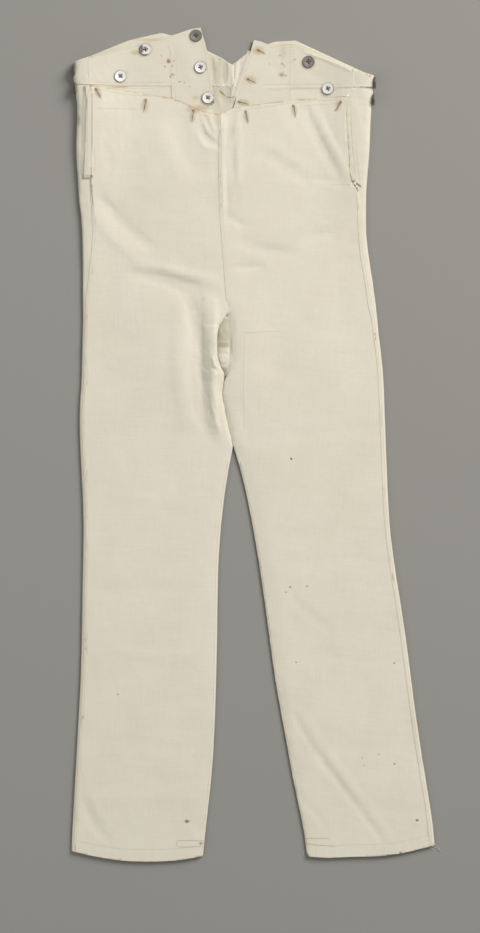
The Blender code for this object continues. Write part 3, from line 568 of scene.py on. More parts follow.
NOTCH_TOP, NOTCH_FOOT, STAND_EDGE, VENT_EDGE = 52, 112, 208, 250
KEYHOLE_TOP, KEYHOLE_LONG, KEYHOLE_MIDDLE, KEYHOLE_HALF = 313, 64, 224.8, 10


def seen(px, py):
    """How far each place is inside one of the two openings that show the inside of the back."""
    stand_edge = STAND_EDGE + 0.143 * (py - NOTCH_TOP)
    vent_edge = VENT_EDGE - 0.33 * (py - NOTCH_TOP)
    notch = np.minimum.reduce([px - stand_edge, vent_edge - px, NOTCH_FOOT - py])
    down = np.clip((py - KEYHOLE_TOP) / KEYHOLE_LONG, 0, 1)
    keyhole = KEYHOLE_HALF * np.sin(np.pi * down) ** 0.5 - np.abs(px - KEYHOLE_MIDDLE)
    return np.clip(np.maximum(notch, keyhole) / 2.5, 0, 1)


HIP_TOP, HIP_LONG, HIP_EDGE, HIP_FADE, HIP_FULLNESS = 62, 150, 87, 8, 2.1  # all in pixels
TOP_LAYER, TOP_FADE = 2.0, 2.2  # the height in millimetres over which a back's upper creases come in
RUMPLE_ACROSS, RUMPLE_ALONG, RUMPLE_HEIGHT = 13, 8, 0.4  # waves to a metre, and millimetres
INSIDE_SOFTNESS = 1.2


def crease(piece, rim, side, lower):
    """Moves a laid piece into its creases, and stores its grain and its rims."""
    co, normals = places(piece)
    px, py = pixels(co[:, 0], co[:, 1])
    bulge = np.sin(np.pi * np.clip((py - HIP_TOP) / HIP_LONG, 0, 1)) ** 0.7
    co[:, 0] -= HIP_FULLNESS * bulge * np.clip((HIP_EDGE - px) / HIP_FADE, 0, 1) * PIXEL
    rumple = np.array([noise.fractal(Vector((x * RUMPLE_ACROSS, y * RUMPLE_ALONG, 3.0)), 1.0, 2.0, 2)
                       for x, y, _ in co])
    over = crease_heights(UPPER_CREASES, px, py) + puckers(SEAM_PUCKERS, px, py) + RUMPLE_HEIGHT * rumple
    looks_up, looks_down = np.clip(4 * normals[:, 2], 0, 1), np.clip(-4 * normals[:, 2], 0, 1)
    over = np.where(over > 0, over, looks_up * SUNK * np.tanh(over / SUNK))
    if lower:
        top = np.clip((co[:, 2] / MM - TOP_LAYER) / TOP_FADE, 0, 1)
        under = SUNK * np.tanh(np.maximum(crease_heights(UNDER_CREASES, px, py), 0) / SUNK) * looks_down
        gathers = crease_heights(INSIDE_GATHERS, px, py, INSIDE_SOFTNESS) * seen(px, py)
        over = over * top + (under + gathers) * (1 - top)
    co[:, 2] = np.maximum(co[:, 2] + over * MM, 0)
    piece.data.vertices.foreach_set("co", co.ravel())
    turn = GRAIN_TURN[side]
    out = 1 if side == "left" else -1
    grain = piece.data.uv_layers.active or piece.data.uv_layers.new(name="grain")
    grain.name = "grain"
    u = (co[:, 0] + out * co[:, 2]) * math.cos(turn) + co[:, 1] * math.sin(turn)
    v = co[:, 1] * math.cos(turn) - (co[:, 0] + out * co[:, 2]) * math.sin(turn)
    corners = np.empty(len(piece.data.loops), int)
    piece.data.loops.foreach_get("vertex_index", corners)
    grain.data.foreach_set("uv", np.stack((u[corners], v[corners]), axis=1).ravel())
    piece.data.attributes.new("edge", "FLOAT", "POINT").data.foreach_set("value", rim.astype(float))
    piece.data.update()
    piece.data.shade_smooth()
    piece.data.set_sharp_from_angle(angle=SHARP_FOLD)


def dress(node, finish, slot, lower=False):
    piece, rim = lay_cloth(node, LEG_CELL if slot == "linen" else BAND_CELL)
    crease(piece, rim, "left" if node.endswith("left") else "right", lower)
    piece.data.materials.append(finish)
    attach(piece, "root")
    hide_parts(node)


# The backs, each one leg. They lie on the table, wrap round the outer edge of the leg, and end on top
# at the side seam. They meet in the seat seam, and in the middle they show behind the gaping seam.
# Painted shade inside the keyhole and the notch: the keyhole's darker top, the dark bands between its lumps,
# and some dirt.
KEYHOLE_SHADE_AND_DIRT = [(224, 328, 12, 19, 0.6, 0.40), (224, 345, 9, 4.4, 0.3, 0.62), (225, 371, 8, 5, 0.3, 0.72),
                 (230, 333, 4, 17, 0.3, 0.35), (224, 84, 17, 34, 0.4, 0.30)]
back_finish = {
    "right": linen_finish("linen of the right back", shade_and_dirt=KEYHOLE_SHADE_AND_DIRT, brown=[
        (79, 122, 2.5, 9, 0.2, 0.45), (229, 76, 3.2, 11, 0.3, 0.4), (222, 93, 3, 2, 0.3, 0.35)]),
    "left": linen_finish("linen of the left back", shade_and_dirt=KEYHOLE_SHADE_AND_DIRT, brown=[
        (229, 76, 3.2, 11, 0.3, 0.4), (235, 102, 2.6, 5, 0.3, 0.35)])}
dress("back_right", back_finish["right"], "linen", lower=True)
dress("back_left", back_finish["left"], "linen", lower=True)

# The fronts, each one leg with its half of the broad fall. Above the hips the fall is open at both
# sides, and its top edge is faced and worked with six buttonholes. The centre front seam gapes below.
# The fronts' tone of 1.02 is painted light that makes them a little lighter.
front_finish = {
    "right": linen_finish(
        "linen of the right front",
        brown=[(187, 821, 2.2, 1.7, 0.5, 0.9), (118, 694, 1.3, 1.1, 0.5, 0.6), (201, 843, 3, 2, 0.3, 0.6),
               (97, 90, 3, 4, 0.2, 0.25), (205, 134, 2, 1.5, 0.3, 0.25)],
        rust=[(187, 821, 4, 3, 0.3, 0.5), (98, 94, 5, 7, 0.3, 0.42), (145, 106, 6, 9, 0.3, 0.42),
              (194, 110, 11, 5, 0.3, 0.50), (192, 117, 5, 9, 0.3, 0.40)],
        tone=1.02, soil=1.0),
    "left": linen_finish(
        "linen of the left front",
        brown=[(290, 587, 1.6, 1.2, 0.5, 0.7), (307, 586, 1.2, 1.0, 0.5, 0.6), (286, 592, 1.0, 1.0, 0.5, 0.6),
               (296, 662, 1.2, 1.0, 0.5, 0.6), (394, 663, 1.6, 1.3, 0.5, 0.75),
               (362, 758, 1.3, 1.0, 0.4, 0.4), (364, 765, 1.2, 1.0, 0.5, 0.6),
               (378.5, 754, 1.2, 1.0, 0.4, 0.4),
               (394.5, 763.5, 1.3, 1.1, 0.5, 0.7), (417, 820, 1.9, 1.6, 0.6, 0.9),
               (430, 832, 5, 13, 0.2, 0.22), (306, 854, 3, 3, 0.3, 0.6), (436, 845, 3, 4, 0.3, 0.5)],
        rust=[(246, 117, 5, 8, 0.3, 0.38), (294, 111, 5, 8, 0.3, 0.38), (338, 106, 5, 7, 0.3, 0.38)],
        # The small hole in the left front is painted dark as the shade inside it.
        holes=[(291, 459, 1.5, 1.3, 0.6, 0.85)], tone=1.02, soil=1.0)}
dress("front_right", front_finish["right"], "linen")
dress("front_left", front_finish["left"], "linen")

# The fall's side plackets: narrow folded strips that bind its open sides down to the bar tacks.
placket_finish = linen_finish(
    "linen of the plackets", brown=[(88, 177, 6, 3, 0.3, 0.3), (358, 184, 4, 3, 0.3, 0.4)], tone=0.97)
dress("fall_placket_right", placket_finish, "linen")
dress("fall_placket_left", placket_finish, "linen")

# The bearers lie under the fall and join the waistband to the hips. Only their top edges show.
# The thin rust-coloured lines along the band's lower edge are painted shade of the crease there.
bearer_finish = linen_finish(
    "linen of the bearers", rust=[(120, 87.4, 13, 1.5, 0.3, 0.5), (300, 88, 18, 1.8, 0.3, 0.3)])
dress("bearer_right", bearer_finish, "linen")
dress("bearer_left", bearer_finish, "linen")

# The waistband: doubled linen, stiffer and stitched along its edges. The wearer's right end is the
# button stand, the left end has the buttonholes, and the back's bands run round to the centre back.
# The bands' tone of 0.97 is painted shade that makes them a little darker.
band_finish = {
    "right": linen_finish(
        "linen of the right waistband",
        brown=[(168.5, 61.5, 2.6, 2.8, 0.55, 0.8), (165, 67, 1.3, 1.3, 0.4, 0.55),
               (172.5, 66.5, 1.3, 1.2, 0.4, 0.55), (174, 61, 1.0, 1.4, 0.4, 0.45),
               (172.5, 75, 2.6, 2.0, 0.4, 0.55), (170.5, 77, 1.6, 1.8, 0.4, 0.55),
               (180, 82, 2.6, 1.0, 0.4, 0.4), (184.5, 83, 1.4, 1.0, 0.4, 0.4), (190, 87, 1.3, 1.2, 0.4, 0.45),
               (160, 84, 1.3, 1.2, 0.4, 0.35), (161, 56, 1.2, 1.2, 0.4, 0.35), (128, 72, 1.0, 0.9, 0.4, 0.3)],
        rust=[(145.5, 50, 9, 8, 0.5, 0.38), (136, 53, 8, 3.5, 0.3, 0.45), (120.5, 78, 8, 8, 0.5, 0.35),
              (200.5, 68, 8, 8, 0.5, 0.30), (208, 99, 10, 8, 0.5, 0.45), (196, 36, 8, 8, 0.5, 0.3),
              (196, 98, 5, 3, 0.3, 0.3), (202, 108, 12, 4, 0.3, 0.4), (150, 40, 22, 2, 0.3, 0.3)],
        # Painted shade on the inside of the band where it shows in the notch.
        shade_and_dirt=[(222, 66, 13, 24, 0.4, 0.34)], tone=0.97),
    "left": linen_finish(
        "linen of the left waistband",
        brown=[(280, 56, 1.2, 1.1, 0.4, 0.5), (282, 64, 2.0, 1.4, 0.4, 0.5), (281.5, 75, 3.0, 2.2, 0.4, 0.5),
               (286, 76, 1.3, 1.2, 0.4, 0.5), (269, 64, 1.2, 1.0, 0.4, 0.4), (295, 60, 1.4, 1.6, 0.4, 0.35),
               (284, 66, 1.6, 2.6, 0.3, 0.35), (369.5, 77, 1.6, 1.4, 0.5, 0.6),
               (366, 76, 1.1, 1.1, 0.4, 0.4)],
        rust=[(258, 51, 9, 6, 0.3, 0.50), (250, 80, 9, 6, 0.3, 0.45), (243, 103, 9, 5, 0.3, 0.50),
              (308.5, 64, 8, 8, 0.5, 0.42), (328, 90, 8, 8, 0.5, 0.42), (283, 52, 5, 12, 0.3, 0.25),
              (282, 75, 6, 5, 0.3, 0.25)],
        # Painted shade on the inside of the band where it shows in the notch.
        shade_and_dirt=[(226, 70, 12, 24, 0.4, 0.34), (232, 84, 3, 9, 0.3, 0.3)], tone=0.97)}
dress("back_band_right", band_finish["right"], "linen_band", lower=True)
dress("back_band_left", band_finish["left"], "linen_band", lower=True)
dress("waistband_right", band_finish["right"], "linen_band")
dress("waistband_left", band_finish["left"], "linen_band")
dress("waistband_end_right", band_finish["right"], "linen_band")
dress("waistband_end_left", band_finish["left"], "linen_band")

# The felled seams. One panel's edge is folded over the other's and sewn down, which leaves a low strip
# of doubled cloth along the centre front, both sides and the lower edge of the waistband.
def cloth_tree():
    """A tree of all the cloth that has been laid so far."""
    points, faces = [], []
    for piece in bpy.data.objects:
        if piece.name.startswith(("cloth_", "felled_")):
            faces += [[i + len(points) for i in face.vertices] for face in piece.data.polygons]
            points += [vert.co.copy() for vert in piece.data.vertices]
    return BVHTree.FromPolygons(points, faces)


surface = cloth_tree()


def drop(px, py, side=1):
    """The place on top of the cloth at a pixel, or on its underside where the side is -1."""
    x, y = at(px, py)
    hit = surface.ray_cast(Vector((x, y, 0.1 * side)), Vector((0, 0, -side)))[0]
    return hit if hit is not None else Vector((x, y, 0))


def paced(points, pace):
    """Pixels at an even pace, in millimetres, along a smooth line."""
    line = smooth_line(points)
    run = np.concatenate(([0], np.hypot(*np.diff(line, axis=0).T).cumsum()))
    way = np.linspace(0, run[-1], max(2, round(run[-1] * PIXEL / (pace * MM)) + 1))
    return np.stack((np.interp(way, run, line[:, 0]), np.interp(way, run, line[:, 1])), axis=1)


LOOK_REACH = 2.6


def rim_at(node, level, pick):
    """The first or last pixel across of a laid panel, at a pixel down."""
    co, _ = places(bpy.data.objects["cloth_" + node])
    px, py = pixels(co[:, 0], co[:, 1])
    return pick(px[np.abs(py - level) < LOOK_REACH])


STRIP_FORM = ((-1.0, -0.3), (-0.8, 0.75), (-0.4, 1.0), (0.0, 0.9), (0.4, 1.0), (0.8, 0.75), (1.0, -0.3))
STRIP_PACE = 1.8
STRIP_SUNK = 0.1
STRIP_CLEAR = 0.04


def finish_piece(name, net, finish):
    """Makes a net into a closed piece with its finish, which rides with the trousers."""
    bmesh.ops.recalc_face_normals(net, faces=net.faces)
    piece = bpy.data.objects.new(name, bpy.data.meshes.new(name))
    net.to_mesh(piece.data)
    net.free()
    bpy.context.collection.objects.link(piece)
    piece.data.materials.append(finish)
    piece.data.shade_smooth()
    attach(piece, "root")
    return piece


def felled_strip(name, points, width, height, finish, slot):
    """A closed strip along a seam, its width in pixels and its height in millimetres."""
    line = paced(points, STRIP_PACE)
    way = np.gradient(line, axis=0)
    across = np.stack((way[:, 1], -way[:, 0]), axis=1) / np.hypot(*way.T)[:, None]
    shares, lifts = np.array(STRIP_FORM).T
    rows = line[:, None, :] + across[:, None, :] * (shares * width / 2)[None, :, None]
    ground = np.array([[drop(px, py).z for px, py in row] for row in rows])
    sides = np.stack([np.convolve(np.pad(ground[:, k], 2, mode="edge"), np.full(5, 0.2), "valid")
                      for k in (0, -1)], axis=1)
    share = (shares + 1) / 2
    base = sides[:, :1] * (1 - share) + sides[:, 1:] * share
    taper = np.clip(np.minimum(np.arange(len(line)), np.arange(len(line))[::-1]) / 3, 0.1, 1)[:, None]
    level = np.maximum(base + taper * height * MM * lifts, ground + STRIP_CLEAR * MM)
    level[:, [0, -1]] = ground[:, [0, -1]] - STRIP_SUNK * MM
    net = bmesh.new()
    verts = [[net.verts.new((*at(*spot), z)) for spot, z in zip(*one)] for one in zip(rows, level)]
    for one, two in zip(verts, verts[1:]):
        for k in range(len(shares)):
            net.faces.new((one[k], one[k - 1], two[k - 1], two[k]))
    net.faces.new(verts[0])
    net.faces.new(verts[-1])
    grain = net.loops.layers.uv.new("grain")
    run = {vert: i * STRIP_PACE * MM for i, row in enumerate(verts) for vert in row}
    for face in net.faces:
        for loop in face.loops:
            loop[grain].uv = (run[loop.vert], loop.vert.co.x + loop.vert.co.y)
    piece = finish_piece(name, net, finish)
    piece.data.set_sharp_from_angle(angle=math.radians(60))


# The seams' thin rust-coloured lines along the band's lower edge are painted shade of the crease there.
seam_finish = linen_finish(
    "linen of the seams", rust=[(300, 88, 22, 2, 0.3, 0.16), (120, 86, 22, 2, 0.3, 0.2)], tone=1.01)
top_seam_finish = linen_finish("linen of the band's top seam", tone=0.88)
CENTRE_SEAM = [((rim_at("front_right", y, max) + rim_at("front_left", y, min)) / 2, y)
               for y in range(134, 306, 12)]
RIGHT_SEAM = [(rim_at("front_right", y, min), y) for y in [*range(186, 840, 16), 844]]
LEFT_SEAM = [(rim_at("front_left", y, max), y) for y in [*range(192, 832, 16), 838]]
STRIPS = [  # name, line, width in pixels, height in millimetres, finish, slot
    ("centre_seam", CENTRE_SEAM, 4.6, 0.26, seam_finish, "linen"),
    ("right_seam", RIGHT_SEAM, 3.6, 0.35, seam_finish, "linen"),
    ("left_seam", LEFT_SEAM, 4.0, 0.35, seam_finish, "linen"),
    ("right_band_seam", [(104, 85.6), (130, 85.6), (169, 85.2)], 3.2, 0.2, seam_finish, "linen_band"),
    ("right_side_band_seam", [(80, 84.2), (92, 84.4), (104, 85.2)], 2.4, 0.1, seam_finish, "linen_band"),
    ("left_band_seam", [(262, 87.6), (300, 87.6), (346, 87.4), (370, 87.6)],
     3.6, 0.2, seam_finish, "linen_band"),
    ("inner_band_seam", [(214, 86.6), (223, 86.2), (233, 86.4)], 3.4, 0.25, seam_finish, "linen_band"),
    ("seat_seam_at_waist", [(232.4, 65), (232.2, 84), (232.2, 106)], 3.4, 0.5, seam_finish, "linen_band"),
    ("left_band_end_seam", [(352, 73), (352.2, 80), (351.6, 88), (349, 92.4), (346, 97)],
     3.0, 0.12, seam_finish, "linen_band"),
    ("left_band_top_seam", [(303, 51.6), (312, 55.8), (324, 60.4), (335, 64.8), (351, 71)],
     4.6, 0.1, top_seam_finish, "linen_band"),
    ("vent_fold", [(249.4, 51), (245.4, 64), (241, 78), (236.4, 92), (232.4, 104)],
     4.6, 0.5, seam_finish, "linen_band"),
    ("right_opening_facing", [(86.6, 87.6), (84.8, 110), (84.4, 150), (83, 175)],
     6.2, 0.14, seam_finish, "linen"),
    ("right_placket_seam", [(92.6, 87.6), (92.8, 110), (92.6, 150), (92, 172), (91.4, 186)],
     3.2, 0.1, seam_finish, "linen"),
    ("keyhole_turning", [(227, 308), (230.2, 320), (231.6, 334), (231.8, 350), (231, 364), (227.4, 377)],
     4.4, 0.05, seam_finish, "linen")]
for name, *row in STRIPS:
    felled_strip("felled_" + name, *row)
surface = cloth_tree()

# The stitching: hand-sewn running and back stitches in pale tan linen thread, along every edge, hem
# and felled seam. One stitch is modelled, and its copies are laid on the cloth thread by thread.
bpy.ops.object.select_all(action="DESELECT")
bpy.ops.mesh.primitive_uv_sphere_add(segments=5, ring_count=4, radius=1, location=(0, 0, 0))
one_stitch = bpy.context.object
STITCH_POINTS = np.array([(vert.co.z, vert.co.x, vert.co.y) for vert in one_stitch.data.vertices])
STITCH_FACES = [tuple(face.vertices) for face in one_stitch.data.polygons]
bpy.data.objects.remove(one_stitch)
STITCH_WIDTH = 0.55
STITCH_PACE = 3.0
STITCH_SHARE = 0.66
STITCH_THICKNESS = 0.42  # of its width
LONGEST_STITCH = 1.3  # of its pace: a longer one would hang over an edge


def thread_finish(name, colour, rust=()):
    """Linen thread: a plain colour with fine darker fibres, browned by rust at some places."""
    finish, tree, shader, position = new_finish(name, colour)
    fibres = cloud(tree, position, 900, 2)["Fac"]
    shade = mixed(tree, colour, (*(0.62 * c for c in colour[:3]), 1), fibres)
    if rust:
        shade = mixed(tree, shade, THREAD_RUST, spot_masks(tree, position, rust))
    feed(tree, shader, {"Base Color": shade, "Roughness": 0.9, "Sheen Weight": 0.1})
    return finish


def stitch_between(first, last, width, side=1):
    """The points of one stitch that spans two places, a little arched and sunk into the cloth."""
    way = last - first
    across = Vector((0, 0, 1)).cross(way).normalized()
    up = way.cross(across).normalized() * side
    axes = np.array((way * 0.5, across * (width / 2 * MM), up * (STITCH_THICKNESS * width * MM)))
    return STITCH_POINTS @ axes + np.array((first + last) / 2)


def sewn(name, stitches, finish):
    """One piece of many stitches, each given by its points."""
    count = len(STITCH_POINTS)
    mesh = bpy.data.meshes.new("stitches")
    mesh.from_pydata(np.vstack(stitches), [], [
        tuple(i + k * count for i in face) for k in range(len(stitches)) for face in STITCH_FACES])
    net = bmesh.new()
    net.from_mesh(mesh)
    bpy.data.meshes.remove(mesh)
    finish_piece(name, net, finish)


def running(lines, width=STITCH_WIDTH, pace=STITCH_PACE, side=1):
    """Running stitches along lines of pixels."""
    stitches = []
    for points in lines:
        line = paced(points, pace)
        for one, two in zip(line, line[1:]):
            first = drop(*one, side)
            last = drop(*(one + (two - one) * STITCH_SHARE), side)
            if (last - first).length < LONGEST_STITCH * pace * MM:
                stitches.append(stitch_between(first, last, width, side))
    return stitches


def moved(points, across):
    return [(px + across, py) for px, py in points]


def hem_at(node, level, up):
    """A point a few pixels above the hem of a laid panel, at a pixel across."""
    co, _ = places(bpy.data.objects["cloth_" + node])
    px, py = pixels(co[:, 0], co[:, 1])
    return level, py[np.abs(px - level) < LOOK_REACH].max() - up


THREAD = (0.60, 0.51, 0.36, 1)
DARK_THREAD = (0.24, 0.17, 0.10, 1)
THREAD_RUST = (0.26, 0.15, 0.06, 1)
INSEAM_IN, HEM_UP = 2.2, 12
INSEAMS = [[(rim_at("front_right", y, max) - INSEAM_IN, y) for y in range(462, 846, 24)],
           [(rim_at("front_left", y, min) + INSEAM_IN, y) for y in range(462, 850, 24)]]
HEMS = [[hem_at("front_right", x, HEM_UP) for x in range(80, 204, 10)],
        [hem_at("front_left", x, HEM_UP) for x in range(308, 430, 10)]]
SEAM_LINES = [
    moved(CENTRE_SEAM, -1.7), moved(CENTRE_SEAM, 1.7), moved(RIGHT_SEAM, -1.2), moved(RIGHT_SEAM, 1.3),
    moved(LEFT_SEAM, -1.5), moved(LEFT_SEAM, 1.3), *INSEAMS, *HEMS,
    [(244.5, 333), (262, 332), (281, 331)], [(244.5, 336), (243.5, 380), (244.5, 430)]]
FALL_LINES = [
    [(94, 89.6), (104, 91), (130, 95), (160, 97.2), (178, 101.5), (188, 106), (194, 112), (206, 116.5),
     (214, 118)],
    [(98, 109), (120, 109.4), (142, 110)],
    [(232, 112.5), (250, 109.4), (265, 107.4), (300, 102.5), (345, 100)],
    [(300, 106.4), (322, 105), (345, 104)], [(93, 95), (93, 145), (95.5, 160), (94.6, 174)],
    [(345, 102), (346, 120), (347, 142)], [(351, 120), (352.4, 150), (355, 175)],
    [(331, 184.6), (345, 185.4), (356, 185)]]
BAND_LINES = [
    [(100, 56.6), (120, 51.4), (137, 46.4), (150, 42), (160, 40)],
    [(270, 48), (280, 45.6), (290, 44.6), (302, 49), (315, 57), (325, 61), (335, 67), (343, 71), (352, 73.6)],
    [(198, 32), (200.6, 36), (204.8, 53), (209, 80), (213.4, 110)],
    [(168, 47), (170.6, 52), (171.6, 60), (171, 82)],
    [(170, 87), (170, 97)], [(174.4, 86), (175, 92), (176, 98)], [(170, 97.6), (176, 99)],
    [(96, 83), (120, 83.4), (168, 82.6)], [(108, 88.4), (140, 88.6), (166, 88)],
    [(264, 85), (300, 85.2), (344, 85)], [(268, 90.4), (300, 90.2), (342, 90)],
    [(251, 56), (243, 80), (237, 99)], [(352.4, 74), (353, 87)], [(285, 66), (291, 62), (296, 58)]]
LADDER = [[(286 + 0.12 * (y - 43), y), (294 + 0.05 * (y - 43), y + 1)] for y in range(44, 63, 3)]
CROSSES = [[(297, 98.6), (300, 101.4)], [(300, 98.4), (297, 101.2)], [(301, 99), (304, 102)],
           [(304, 99), (301, 101.8)]]
HEM_DARNING = [
    [(204, 840.6), (190, 840), (179, 840.4), (176, 843.2), (179, 846.4), (190, 846.6), (204, 846)],
    [(306, 843), (320, 844.8), (335, 846)], [(305, 838.4), (318, 838), (330, 838.2)]]
UNDER_LINES = [
    [(221, 70), (222, 200), (224, 320), (231, 440)], [(224.4, 70), (225.4, 200), (227.4, 320), (234, 440)],
    [(84, 838), (140, 842), (200, 838)], [(312, 842), (370, 843), (424, 832)],
    [(84, 88), (150, 88), (218, 88)], [(228, 89), (300, 89), (366, 89)]]
# Stitches in dark thread beside the fall's side openings and under the band's lower edge; their dark colour
# is painted shadow.
SHADOW_LINES = [
    [(90, 86.6), (88.2, 100), (87.8, 120), (87.5, 150), (86.2, 176)],
    [(115, 86.9), (120, 87.2), (127, 86.8)], [(356.6, 150), (358, 170), (360, 184)]]
tan_thread = thread_finish("tan linen thread", THREAD)
brown_thread = thread_finish("browned thread", DARK_THREAD)
shadow_line_thread = thread_finish("tea brown thread", (0.42, 0.33, 0.20, 1))
sewn("stitches_seams", running(SEAM_LINES), tan_thread)
sewn("stitches_fall", running(FALL_LINES), tan_thread)
sewn("stitches_waistband", running(BAND_LINES) + running(LADDER + CROSSES, width=0.5, pace=2.2),
     tan_thread)
sewn("stitches_hem_darning", running(HEM_DARNING, width=0.7, pace=2.4), brown_thread)
sewn("stitches_underside", running(UNDER_LINES, side=-1), tan_thread)
sewn("stitches_browned", running(SHADOW_LINES, width=0.42, pace=1.6), shadow_line_thread)

# The worked buttonholes: close buttonhole stitches set round a cut slit, six in the fall and three in
# the left end of the waistband. The buttons' rust has browned the thread at the end that they pull on.
BUTTONHOLES = {  # both ends of each slit in pixels, and how wide it gapes in millimetres
    "fall": [(96.4, 90.4, 100.5, 97.8, 0.35), (146, 100.4, 144.1, 111, 0.7), (193.6, 111, 192, 121, 0.3),
             (245.6, 112, 248, 122.4, 0.8), (293.2, 106.4, 295.4, 116.4, 0.3),
             (340.4, 102.6, 336.6, 109.6, 0.35)],
    "end": [(258, 50.4, 264.6, 54, 0.75), (248, 79.6, 255.6, 83.2, 0.4), (239, 102.2, 248, 104.6, 0.7)]}
RING_INNER = 0.3
RING_OUTER = 1.95
RING_PACE = 0.72
RING_WIDTH = 0.62
RING_RISE, RING_FALL = 0.5, 0.3  # how far a ring may follow the cloth above and below its own slope
RING_THREAD = (0.88, 0.82, 0.67, 1)
FEET_BROWN = (0.40, 0.30, 0.17, 1)


def worked_ring(x0, y0, x1, y1, _):
    """The stitches round one slit: along both sides, and fanned round its two ends."""
    start, stop = np.array((x0, y0)), np.array((x1, y1))
    centre, pixels_long = (start + stop) / 2, np.hypot(*(stop - start))
    way = (stop - start) / pixels_long
    side = np.array((-way[1], way[0]))
    turns = np.arange(0, math.pi, RING_PACE / (0.5 * (RING_INNER + RING_OUTER)))
    feet = [(start + way * along * MM / PIXEL, side * sign) for sign in (1, -1)
            for along in np.arange(0, pixels_long * PIXEL / MM, RING_PACE)]
    feet += [(start, side * math.cos(a) - way * math.sin(a)) for a in turns]
    feet += [(stop, side * math.cos(a) + way * math.sin(a)) for a in turns]
    middle = drop(*(centre + side * RING_OUTER * MM / PIXEL))
    fall = (drop(*(stop + way * 2)) - drop(*(start - way * 2))) / (pixels_long + 4)
    stitches = []
    for foot, away in feet:
        down = middle.z + fall.z * float((foot - centre) @ way)
        ends = []
        for reach, lift in ((RING_INNER, 0.2), (RING_OUTER, 0.05)):
            place = foot + away * reach * MM / PIXEL
            level = max(min(drop(*place).z, down + RING_RISE * MM), down - RING_FALL * MM)
            ends.append(Vector((*at(*place), level + lift * MM)))
        stitches.append(stitch_between(*ends, RING_WIDTH))
    return stitches


def slit_shadow(x0, y0, x1, y1, width):
    """Painted shadow in the gap between the lips of one buttonhole: a dark lens just over the cloth below."""
    first, last = drop(x0, y0), drop(x1, y1)
    first.z, last.z = [drop(px + 2, py).z + 0.02 * MM for px, py in ((x0, y0), (x1, y1))]
    return stitch_between(first, last, width)


def ring_rust(holes, share):
    """Rust at the upper end of each buttonhole, as rows for spot_masks."""
    return [(x0, y0, 2.6, 2.8, 0.2, share) for x0, y0, *_ in holes]


def oval(x0, y0, x1, y1, _):
    """The closed line round one ring, where its stitches enter the cloth."""
    middle = np.array((x0 + x1, y0 + y1)) / 2
    half = np.array((x1 - x0, y1 - y0)) / 2
    way = half / np.hypot(*half)
    reach = RING_OUTER * MM / PIXEL
    return [middle + math.cos(a) * (half + way * reach) + math.sin(a) * reach * np.array((-way[1], way[0]))
            for a in np.linspace(0, 2 * math.pi, 17)]


for place, slot in (("fall", "linen"), ("end", "linen_band")):
    holes = BUTTONHOLES[place]
    ring_thread = thread_finish("buttonhole thread of the " + place, RING_THREAD, ring_rust(holes, 0.85))
    ring_stitches = [stitch for hole in holes for stitch in worked_ring(*hole)]
    sewn("buttonholes_" + place, ring_stitches, ring_thread)
    # The dark lens in each slit is painted shadow.
    sewn("buttonhole_slits_" + place, [slit_shadow(*hole) for hole in holes], brown_thread)
    sewn("buttonhole_feet_" + place, running([oval(*hole) for hole in holes], width=0.36, pace=1.2),
         thread_finish("browned feet of the " + place, FEET_BROWN))

# The bar tacks: close cross stitches that stop the fall's side openings from tearing further.
BAR_TACKS = [(84.4, 175.4, 92.6, 175.2, 4.6), (356.2, 182.6, 360.4, 185.4, 3.6)]
TACK_STITCHES = 13
tack_stitches = []
for x0, y0, x1, y1, tall in BAR_TACKS:
    for share in np.linspace(0, 1, TACK_STITCHES):
        px, py = x0 + share * (x1 - x0), y0 + share * (y1 - y0)
        foot = drop(px + 0.3, py + tall * MM / PIXEL)
        tack_stitches.append(stitch_between(drop(px, py), foot, 0.8))
sewn("bar_tacks", tack_stitches, thread_finish("bar tack thread", (0.42, 0.33, 0.21, 1)))

# The buttons: eleven sewn four-hole trouser buttons of tinned metal, 16 mm across, dished inside a
# rolled rim. Most are painted bright as reflected light, some dark as reflected dark surroundings, and all
# have rust round their brown threads.
BUTTON_RADIUS = 8.0
BUTTON_FORM = [  # how far from the middle and how high, in millimetres, from the back round to the face
    (7.0, 0.0), (7.7, 0.3), (8.0, 0.9), (7.9, 1.5), (7.6, 1.8), (7.2, 1.86), (6.8, 1.74), (6.3, 1.62),
    (5.4, 1.56), (4.4, 1.58), (3.9, 1.5), (3.5, 1.34)]
HOLE_PLACE = 2.4
HOLE_RADIUS = 1.1
bpy.ops.object.select_all(action="DESELECT")
bpy.ops.mesh.primitive_circle_add(
    vertices=40, radius=BUTTON_FORM[0][0] * MM, fill_type="NGON", location=(0, 0, 0))
one_button = bpy.context.object
bpy.ops.object.mode_set(mode="EDIT")
bpy.ops.mesh.select_all(action="SELECT")
for (inner, low), (outer, high) in zip(BUTTON_FORM, BUTTON_FORM[1:]):
    bpy.ops.mesh.extrude_region_move(TRANSFORM_OT_translate={"value": (0, 0, (high - low) * MM)})
    bpy.ops.transform.resize(value=(outer / inner, outer / inner, 1))
bpy.ops.object.mode_set(mode="OBJECT")
body = bmesh.new()
body.from_mesh(one_button.data)
bmesh.ops.holes_fill(body, edges=body.edges)
bmesh.ops.recalc_face_normals(body, faces=body.faces)
body.to_mesh(one_button.data)
body.free()
for across, down in ((1, 0), (-1, 0), (0, 1), (0, -1)):
    bpy.ops.object.select_all(action="DESELECT")
    bpy.ops.mesh.primitive_cylinder_add(
        vertices=12, radius=HOLE_RADIUS * MM, depth=8 * MM,
        location=(across * HOLE_PLACE * MM, down * HOLE_PLACE * MM, 0))
    drill = bpy.context.object
    cut = one_button.modifiers.new("hole", "BOOLEAN")
    cut.operation, cut.object, cut.solver = "DIFFERENCE", drill, "EXACT"
    bpy.context.view_layer.objects.active = one_button
    bpy.ops.object.modifier_apply(modifier=cut.name)
    bpy.data.objects.remove(drill)

BUTTON_RUST_AND_SHADE = (0.12, 0.07, 0.035, 1)
PAINTED_DARK_REFLECTION = (0.08, 0.07, 0.06, 1)


